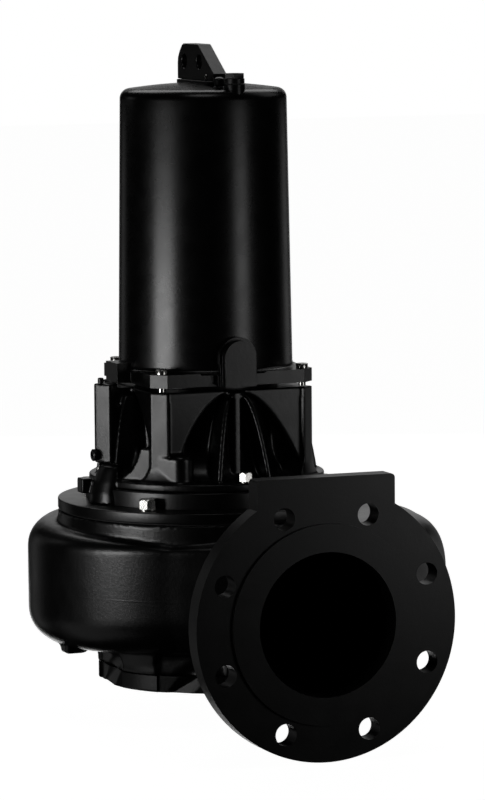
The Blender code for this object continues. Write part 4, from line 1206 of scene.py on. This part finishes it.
def build_casing():
    casing = work(spin_section(outer_section, 180))
    lumps = [work(duct(DUCT_OUTER_HALF, DUCT_OUTER_RADIUS, FLANGE_BACK, 96)),
             work(lathe(base_outline(), 160)),
             work(leg()),
             work(prism(LEG_RIB, "Y", -LEG_RIB_HALF_WIDTH, LEG_RIB_HALF_WIDTH))]
    lumps += [work(base_web(index)) for index in range(WEBS)]
    cuts = [work(rod(NECK_TRIM_RADIUS, (CASING_TOP, 2 * CASING_TOP), sides=96)),
            work(spin_section(inner_section, 150)),
            work(duct(DUCT_INNER_HALF, PORT_RADIUS, FLANGE_BACK + 0.01, 88)),
            work(rod(COVER_OPENING_RADIUS, (IMPELLER_TOP, CASING_TOP + 0.02), sides=180)),
            work(rod(PORT_RADIUS, (SUCTION_COVER_BOTTOM, BASE_ROOT), sides=120))]
    cuts += [work(panel(index)) for index in range(WEBS)]
    carve(casing, joined=lumps)
    carve(casing, cuts=cuts)
    cast(casing, *CASING_SKIN)
    finish_piece(casing, "spiral_casing", CASING_PAINT, "black_paint", "volute_casing")


def leg():
    """Small tapered foot under the left of the spiral."""
    bm = bmesh.new()
    bmesh.ops.create_cube(bm, size=1.0)
    bmesh.ops.scale(bm, verts=bm.verts, vec=LEG_SIZE)
    low = [vert for vert in bm.verts if vert.co.z < 0]
    bmesh.ops.scale(bm, verts=low, vec=(LEG_TAPER, LEG_TAPER, 1.0))
    return shift(bm, (*LEG_PLACE, LEG_BOTTOM + LEG_SIZE[2] / 2))


def base_outline():
    """Round base under the spiral."""
    return [(0.0, BASE_ROOT), (BASE_RADIUS + 0.001, BASE_ROOT), (BASE_RADIUS, BASE_BOTTOM),
            (0.0, BASE_BOTTOM)]


def base_web(index):
    """Web that runs up the base and flares out into the spiral's wall above it."""
    middle = 2 * math.pi * (index + 0.5) / WEBS
    levels = 24
    rings = []
    for level in range(levels + 1):
        share = level / levels
        half = WEB_HALF_ANGLE + WEB_FLARE * share ** 3

        def reach(angle):
            wall = spiral_size(angle)[0] - 0.001
            return BASE_RADIUS - 0.0005 + (wall - BASE_RADIUS) * share ** 2

        rings.append(fan(middle, half, WEB_ROOT_RADIUS, between(WEB_RISE, share), 16, reach))
    return loft(rings)


def panel(index, low=BASE_BOTTOM - 0.01):
    """Recess between two webs, with rounded upper corners, up to just under the spiral above it."""
    middle = 2 * math.pi * index / WEBS
    half, corner = PANEL_HALF_ANGLE, PANEL_CORNER_ANGLE
    under = min(spiral_size(middle + side * half)[2] for side in (-1, 0, 1))
    top = min(PANEL_TOP, under - 0.001)
    drop = corner * BASE_RADIUS
    steps = 8
    outline = [(-half, low)]
    outline += [(-half + corner - corner * math.cos(QUARTER * step / steps),
                 top - drop + drop * math.sin(QUARTER * step / steps)) for step in range(steps + 1)]
    outline += [(-half + corner + 2 * (half - corner) * step / steps, top) for step in range(1, steps)]
    outline += [(half - corner + corner * math.sin(QUARTER * step / steps),
                 top - drop + drop * math.cos(QUARTER * step / steps)) for step in range(steps + 1)]
    outline.append((half, low))
    outline += [(half - 2 * half * step / steps, low) for step in range(1, steps)]
    bm = bmesh.new()
    rows = []
    for radius in (BASE_RADIUS - PANEL_DEPTH, PANEL_REACH):
        rows.append([bm.verts.new(polar(radius, middle + angle, height)) for angle, height in outline])
    count = len(outline)
    for side in range(count):
        after = (side + 1) % count
        bm.faces.new((rows[0][side], rows[0][after], rows[1][after], rows[1][side]))
    for row in rows:
        bm.faces.new(row)
    bmesh.ops.triangulate(bm, faces=[face for face in bm.faces if len(face.verts) > 4])
    return bm


def build_suction_cover():
    """Ring under the base, recessed between the webs like the base above it."""
    top = BASE_BOTTOM - GAP
    lip, mouth = SUCTION_COVER_EDGE, SUCTION_MOUTH_EDGE
    outline = [(PORT_RADIUS, top), (SUCTION_COVER_RADIUS, top)]
    outline += arc((SUCTION_COVER_RADIUS - lip, SUCTION_COVER_BOTTOM + lip), lip, 0, -90, 6)
    outline += arc((PORT_RADIUS + mouth, SUCTION_COVER_BOTTOM + mouth), mouth, 270, 180, 6)
    ring = work(lathe(outline, 160))
    carve(ring, cuts=[work(panel(index, SUCTION_COVER_BOTTOM - 0.01)) for index in range(WEBS)])
    edge(ring, PANEL_EDGE, 2)
    finish_piece(ring, "suction_ring", CASING_PAINT, "black_paint", "suction_cover")


# Discharge flange

def build_flange():
    front = -PORT_REACH + RAISED_FACE_HEIGHT
    back = front + FLANGE_THICKNESS
    disc = work(rod(FLANGE_RADIUS, (front, back), axis="Y", sides=200))
    side, top = CLAW_HALF_WIDTH - CLAW_CORNER, CLAW_TOP - CLAW_CORNER
    outline = [(-CLAW_HALF_WIDTH, 0.0), (CLAW_HALF_WIDTH, 0.0)]
    outline += arc((side, top), CLAW_CORNER, 0, 90, 6)
    outline += arc((-side, top), CLAW_CORNER, 90, 180, 6)
    lumps = [work(prism(outline, "Y", front, back)),
             work(rod(RAISED_FACE_RADIUS, (-PORT_REACH, front + 0.005), axis="Y", sides=160))]
    reach = (-PORT_REACH - 0.02, back + 0.02)
    holes = [work(rod(PORT_RADIUS, reach, axis="Y", sides=120))]
    for index in range(BOLT_HOLES):
        angle = 2 * math.pi * (index + 0.5) / BOLT_HOLES
        centre = (BOLT_CIRCLE_RADIUS * math.cos(angle), BOLT_CIRCLE_RADIUS * math.sin(angle))
        holes.append(work(rod(BOLT_HOLE_RADIUS, reach, centre, "Y", 48)))
    carve(disc, joined=lumps)
    carve(disc, cuts=holes)
    edge(disc, FLANGE_EDGE)
    finish_piece(disc, "outlet_flange", FACE_PAINT, "black_paint", "discharge_flange")


# Impeller and shaft

def vane(index):
    """One backward-curved vane under the impeller's disc."""
    steps = 16
    length = IMPELLER_RADIUS - VANE_RIM_MARGIN - VANE_START
    rings = []
    for step in range(steps + 1):
        share = step / steps
        angle = 2 * math.pi * index / IMPELLER_VANES + VANE_SWEEP * share
        middle = Vector(polar(VANE_START + length * share, angle, 0.0))
        across = Vector(polar(VANE_HALF_WIDTH, angle + QUARTER, 0.0))
        near, far = middle - across, middle + across
        rings.append([(near.x, near.y, HUB_BOTTOM), (far.x, far.y, HUB_BOTTOM), (far.x, far.y, VANE_TOP),
                      (near.x, near.y, VANE_TOP)])
    return loft(rings)


def build_impeller():
    outline = [(0.0, IMPELLER_TOP), (IMPELLER_RADIUS, IMPELLER_TOP), (IMPELLER_RADIUS, IMPELLER_RIM_BOTTOM)]
    wheel = work(lathe(outline + list(HUB_PROFILE) + [(0.0, HUB_BOTTOM)], 120))
    carve(wheel, joined=[work(vane(index)) for index in range(IMPELLER_VANES)])
    cast(wheel, *WHEEL_SKIN)
    finish_piece(wheel, "pump_wheel", RAW_IRON, "impeller_iron", "impeller")
    high = HUB_BOTTOM - GAP
    nut = work(hex_prism(WHEEL_NUT_RADIUS * math.sqrt(3), WHEEL_NUT_BOTTOM, high))
    inward, rise = WHEEL_NUT_CHAMFER
    crown = [(0.0, high + OVERSHOOT), (WHEEL_NUT_RADIUS, high + OVERSHOOT),
             (WHEEL_NUT_RADIUS, WHEEL_NUT_BOTTOM + rise), (WHEEL_NUT_RADIUS - inward, WHEEL_NUT_BOTTOM),
             (0.0, WHEEL_NUT_BOTTOM - 0.0002)]
    trim_nut(nut, work(lathe(crown, 48)))
    finish_piece(sharpen(nut), "wheel_nut", BRIGHT_STEEL, "stainless_bolt", "impeller_bolt")
    stub = work(rod(SHAFT_RADIUS, (IMPELLER_TOP + GAP, COVER_TOP), sides=64))
    finish_piece(sharpen(stub), "shaft_stub", BRIGHT_STEEL, "shaft_steel", "pump_shaft")


# Camera, floor and light

def build_camera():
    """A camera at the photograph's viewpoint, for an image 485 by 800."""
    lens = bpy.data.cameras.new("camera")
    camera = bpy.data.objects.new("camera", lens)
    back = CAMERA_RIGHT.cross(CAMERA_UP)
    facing = Matrix((CAMERA_RIGHT, CAMERA_UP, back)).transposed()
    camera.matrix_world = Matrix.Translation(CAMERA_PLACE) @ facing.to_4x4()
    lens.sensor_fit = "VERTICAL"
    lens.sensor_width = CAMERA_SENSOR
    lens.sensor_height = CAMERA_SENSOR
    lens.lens = CAMERA_LENS
    lens.clip_end = 60.0
    bpy.context.scene.collection.objects.link(camera)
    bpy.context.scene.camera = camera


def build_stage():
    """White floor that fades into the background, with a faint shadow under the top light."""
    floor_height = cad_box[0][2] - GAP
    bm = bmesh.new()
    bmesh.ops.create_grid(bm, x_segments=1, y_segments=1, size=FLOOR_HALF)
    floor = work(shift(bm, (0.0, 0.0, floor_height)))
    floor.name = "floor"
    shades = Shades("pale_floor")
    shades.feed("Base Color", shades.blend(shades.noise(3.0), (0.28, 0.28, 0.28), (0.32, 0.32, 0.32)))
    shades.feed("Roughness", shades.spread(shades.noise(40.0), 0.80, 0.95))
    shades.fix(Emission_Color=(1.0, 1.0, 1.0, 1.0), Emission_Strength=FLOOR_GLOW)
    floor.data.materials.append(shades.material)
    floor.visible_glossy = False
    floor.visible_diffuse = False
    floor.visible_shadow = False


def softbox(name, azimuth, elevation, distance, size, radiance, fills=False):
    """A rectangular light seen from the pump's middle at an azimuth from the camera and an elevation."""
    width, height = size
    data = bpy.data.lights.new(name, "AREA")
    data.shape = "RECTANGLE"
    data.size = width
    data.size_y = height
    data.energy = radiance * math.pi * width * height
    lamp = bpy.data.objects.new(name, data)
    lamp.visible_camera = False
    lamp.visible_diffuse = fills
    heading, rise = math.radians(CAMERA_AZIMUTH + azimuth), math.radians(elevation)
    away = Vector((math.cos(heading) * math.cos(rise), math.sin(heading) * math.cos(rise), math.sin(rise)))
    lamp.location = LIGHT_AIM + away * distance
    lamp.rotation_euler = away.to_track_quat("Z", "Y").to_euler()
    bpy.context.scene.collection.objects.link(lamp)


def build_light():
    for row in SOFTBOXES:
        softbox(*row)
    world = bpy.data.worlds.new("studio")
    world.use_nodes = True
    tree = world.node_tree
    ground = tree.nodes["Background"]
    ground.inputs["Color"].default_value = (1.0, 1.0, 1.0, 1.0)
    ground.inputs["Strength"].default_value = 1.0
    dim = tree.nodes.new("ShaderNodeBackground")
    dim.inputs["Color"].default_value = (1.0, 1.0, 1.0, 1.0)
    dim.inputs["Strength"].default_value = WORLD_GLOW
    path = tree.nodes.new("ShaderNodeLightPath")
    mix = tree.nodes.new("ShaderNodeMixShader")
    tree.links.new(path.outputs["Is Camera Ray"], mix.inputs["Fac"])
    tree.links.new(dim.outputs["Background"], mix.inputs[1])
    tree.links.new(ground.outputs["Background"], mix.inputs[2])
    tree.links.new(mix.outputs["Shader"], tree.nodes["World Output"].inputs["Surface"])
    bpy.context.scene.world = world
    bpy.context.scene.view_settings.view_transform = "Standard"


build_camera()
build_motor()
build_lug()
build_top_fittings()
build_bolts()
build_seal_housing()
build_column_fittings()
build_rings()
build_casing()
build_suction_cover()
build_flange()
build_impeller()
build_stage()
build_light()
